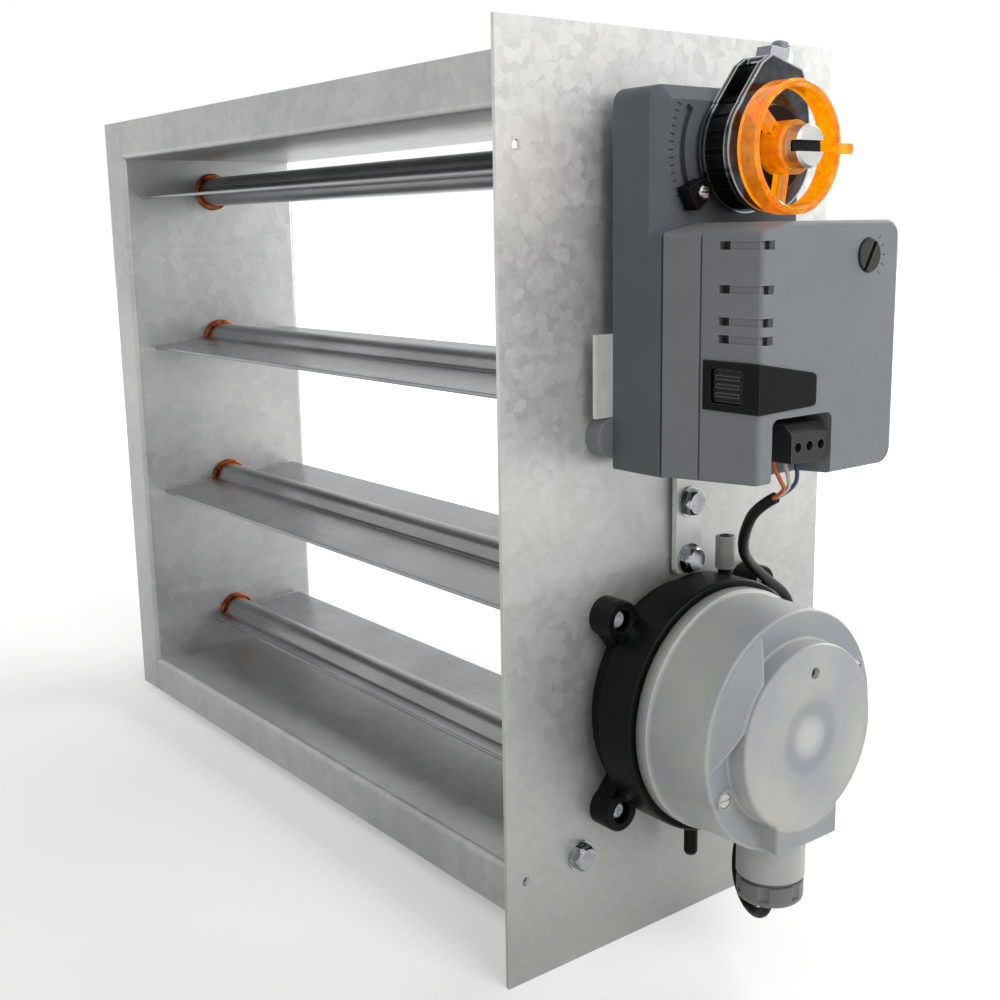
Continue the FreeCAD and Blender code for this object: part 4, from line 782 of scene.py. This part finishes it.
def sleeve(name, centre, inner, outer, low, high):
    """A tube round an upright axis. Its section is a closed superellipse, the fourth roots of
    a circle's cosine and sine, that spans inner to outer and low to high."""
    around = np.linspace(0, 2 * math.pi, 40, endpoint=False)[None, :]
    section = np.linspace(0, 2 * math.pi, 28, endpoint=False)[:, None]
    radius = (inner + outer) / 2 + (outer - inner) / 2 * squared(np.cos(section), 0.25)
    x = centre[0] + radius * np.cos(around)
    y = centre[1] + radius * np.sin(around)
    z = (low + high) / 2 + (high - low) / 2 * squared(np.sin(section), 0.25)
    return skin(name, x, y, z, closed=True)


nipple_cap = sleeve("nipple_cap", cap_centre, cap_inner, cap_outer, cap_low, cap_high)
nipple_cap.data.materials.append(moulding("cap_silicone", (196, 196, 190), 900.0, 0.00004,
                                          (0.34, 0.46), transmission_weight=0.35, ior=1.41))
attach(nipple_cap, "damper_frame")


# Pressure switch cover. Frosted polypropylene: light comes through it soft and greyish. Painted light is
# laid in its colour: a painted highlight on its edges, painted shade over the base's rim, bluish painted
# shade in the thin lobe panels and round the dial, and a painted highlight over the dial's middle.
base_rim = (0.0222, 0.0262)
lobe_face = (0.0508, 0.0514)
front_face = (0.0576, 0.0582)
panel_inside = (0.0304, 0.0312)
panel_outside = (0.0384, 0.0392)
dial_inside = (0.0060, 0.0085)
dial_outside = (0.0110, 0.0132)
dial_middle = (0.0025, 0.0075)
cover_frost, tree, shader, place = start_material("cover_frost", transmission_weight=0.45, ior=1.45)
texture = place_group(tree, moulded_grain, {"Place": place, "Grain": 500.0})
forward = add(tree, "SeparateXYZ", {0: place}).outputs["X"]
off_middle = off_switch_axis(tree, place)
wisps = rise(tree, noise(tree, place, 34.0, 2.0), 0.35, 0.65)
tint = blend_colour(tree, wisps, linear(210, 214, 217), linear(234, 232, 225))
# Painted shade, bluish, in the lobe panels and round the dial, and a painted highlight over the dial's
# middle.
panel_painted_shade = where_all(tree, rise(tree, off_middle, *panel_inside), fall(tree, off_middle, *panel_outside),
                  rise(tree, forward, *lobe_face, 0.6))
tint = blend_colour(tree, panel_painted_shade, tint, linear(170, 179, 188))
front = rise(tree, forward, *front_face)
dial_painted_shade = where_all(tree, rise(tree, off_middle, *dial_inside),
                      fall(tree, off_middle, *dial_outside, 0.42), front)
tint = blend_colour(tree, dial_painted_shade, tint, linear(156, 166, 180))
middle_painted_highlight = where_all(tree, fall(tree, off_middle, *dial_middle, 0.9), front)
tint = blend_colour(tree, middle_painted_highlight, tint, linear(252, 252, 250))
# Painted shade over the base's rim, and a painted highlight on the edges.
tint = blend_colour(tree, fall(tree, forward, *base_rim, 0.65), tint, linear(92, 92, 90))
tint = blend_colour(tree, edge_share(tree, 0.0009, 0.8), tint, linear(250, 250, 246))
tree.links.new(tint, shader.inputs["Base Color"])
tree.links.new(by_noise(tree, texture["Grain"], 0.34, 0.44), shader.inputs["Roughness"])
bump(tree, shader, texture["Mottle"], 0.1, 0.0002)
finish(cover_frost, "switch_cover")


# Cover screws and cable gland. The cover is held by pale nylon screws, and the gland's grey
# nut screws on its body, where the cable leaves the switch.
screw_nylon = moulding("screw_nylon", (226, 224, 214), 1200.0, 0.00004, (0.34, 0.46))
finish(screw_nylon, "cover_screws")
gland_plastic = moulding("gland_plastic", (168, 168, 162), 1200.0, 0.00006, (0.36, 0.50))
finish(gland_plastic, "gland_body")
nut_plastic = moulding("nut_plastic", (122, 123, 119), 1200.0, 0.00006, (0.38, 0.52))
finish(nut_plastic, "gland_nut")
